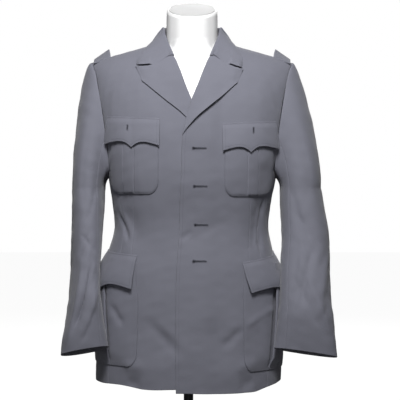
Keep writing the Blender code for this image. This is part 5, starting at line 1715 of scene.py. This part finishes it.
def stitched(name, paths, tree, **sizes):
    """The stitches of the paths as a plain mesh that rides on the blazer."""
    made = paths_mesh(f"{name}_paths", paths)
    modifier = made.modifiers.new("stitches", "NODES")
    modifier.node_group = tree
    sockets = {item.name: item.identifier for item in tree.interface.items_tree if item.in_out == "INPUT"}
    for key, value in sizes.items():
        modifier[sockets[key.replace("_", " ")]] = value
    modifier[sockets["Thread Material"]] = THREAD
    seen = made.evaluated_get(bpy.context.evaluated_depsgraph_get())
    mesh = bpy.data.meshes.new_from_object(seen)
    bpy.data.objects.remove(made)
    mesh.name = name
    for layer in list(mesh.attributes):
        if layer.name == "out":
            mesh.attributes.remove(layer)
    if not mesh.uv_layers:
        layer = mesh.uv_layers.new(name="UVMap")
        corner = np.zeros(len(mesh.loops), np.int32)
        mesh.loops.foreach_get("vertex_index", corner)
        points = np.zeros(len(mesh.vertices) * 3, np.float32)
        mesh.vertices.foreach_get("co", points)
        layer.data.foreach_set("uv", points.reshape(-1, 3)[corner][:, [0, 2]].ravel())
    mesh.shade_smooth()
    piece = bpy.data.objects.new(name, mesh)
    bpy.context.scene.collection.objects.link(piece)
    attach(piece, "root")
    return piece


def add_slits():
    # The slits sit in the cloth as a dark sheet of painted shade for the buttonhole openings.
    points, faces = [], []
    for ring, sides in HOLES:
        first = len(points)
        points += ring.tolist()
        faces += [tuple(first + k for k in face) for face in sides]
    made = mesh_piece("buttonhole_slits", points, faces, np.array(points)[:, [0, 2]])
    made.data.materials.append(PAINTED_SLIT_SHADE)
    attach(made, "root")


def dress_blazer():
    for side in (1, -1):
        dress_front(side)
        dress_side(side)
        dress_back(side)
        dress_sleeve(side)
        dress_lapel(side)
        dress_pockets(side)
        dress_shoulder_tab(side)
    dress_collar()
    for made, node, held, rests_on, size, area in CLOTH_PIECES:
        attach(made, "root")
        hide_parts(node)
    for side in (1, -1):
        add_paths(side)
    add_buttonholes()
    tree = stitch_tree()
    stitched("seam_stitches", PATHS["seam"], tree, Pitch=0.0030, Stitch_Length=0.0024, Thread=0.00052, Turn=0.0)
    stitched("buttonhole_stitches", PATHS["hole"], tree, Pitch=0.00055, Stitch_Length=0.0019, Thread=0.00052, Turn=math.pi / 2)
    add_slits()


# Camera, floor and light
def set_stage():
    bpy.context.scene.view_settings.view_transform = "Standard"
    camera = bpy.data.objects.new("camera", bpy.data.cameras.new("camera"))
    camera.data.lens = 98.2
    camera.data.sensor_width = 36
    camera.location = (0.0253, -2.4, 0.546)
    camera.rotation_euler = (math.pi / 2, 0, 0)
    bpy.context.scene.collection.objects.link(camera)
    bpy.context.scene.camera = camera

    floor = mesh_piece("floor", [(-9, -9, 0), (9, -9, 0), (9, 9, 0), (-9, 9, 0)], [(0, 1, 2, 3)])
    pale, shader = plain_material("pale_floor", (0.12, 0.12, 0.12), 0.9)
    shader.inputs["Emission Color"].default_value = (1, 1, 1, 1)
    tree = pale.node_tree
    path = node_of(tree, "ShaderNodeLightPath")
    tree.links.new(math_node(tree, "MULTIPLY", path.outputs["Is Camera Ray"], 0.95), shader.inputs["Emission Strength"])
    floor.data.materials.append(pale)

    world = bpy.data.worlds.new("studio")
    world.use_nodes = True
    tree = world.node_tree
    path = node_of(tree, "ShaderNodeLightPath")
    strength = math_node(tree, "MULTIPLY_ADD", path.outputs["Is Camera Ray"], 0.94, 0.06)
    tree.links.new(strength, tree.nodes["Background"].inputs["Strength"])
    tree.nodes["Background"].inputs["Color"].default_value = (1, 1, 1, 1)
    bpy.context.scene.world = world

    lights = (
        # name, place, aimed at, size, power
        ("key", (0.0, -1.30, 1.80), (0.0, 0.0, 0.72), 0.5, 33),
        ("fill", (-0.3, -2.4, 0.9), (0.0, 0.0, 0.60), 1.4, 5),
        ("back", (0.2, 1.9, 1.7), (0.0, 0.0, 0.60), 1.3, 25),
    )
    for name, place_at, aim, size, power in lights:
        lamp = bpy.data.lights.new(name, "AREA")
        lamp.size = size
        lamp.energy = power
        made = bpy.data.objects.new(name, lamp)
        made.location = place_at
        way = np.array(aim) - np.array(place_at)
        made.rotation_euler = (math.atan2(math.hypot(way[0], way[1]), -way[2]), 0, math.atan2(way[1], way[0]) - math.pi / 2)
        bpy.context.scene.collection.objects.link(made)


dress_stand()
dress_blazer()
set_stage()
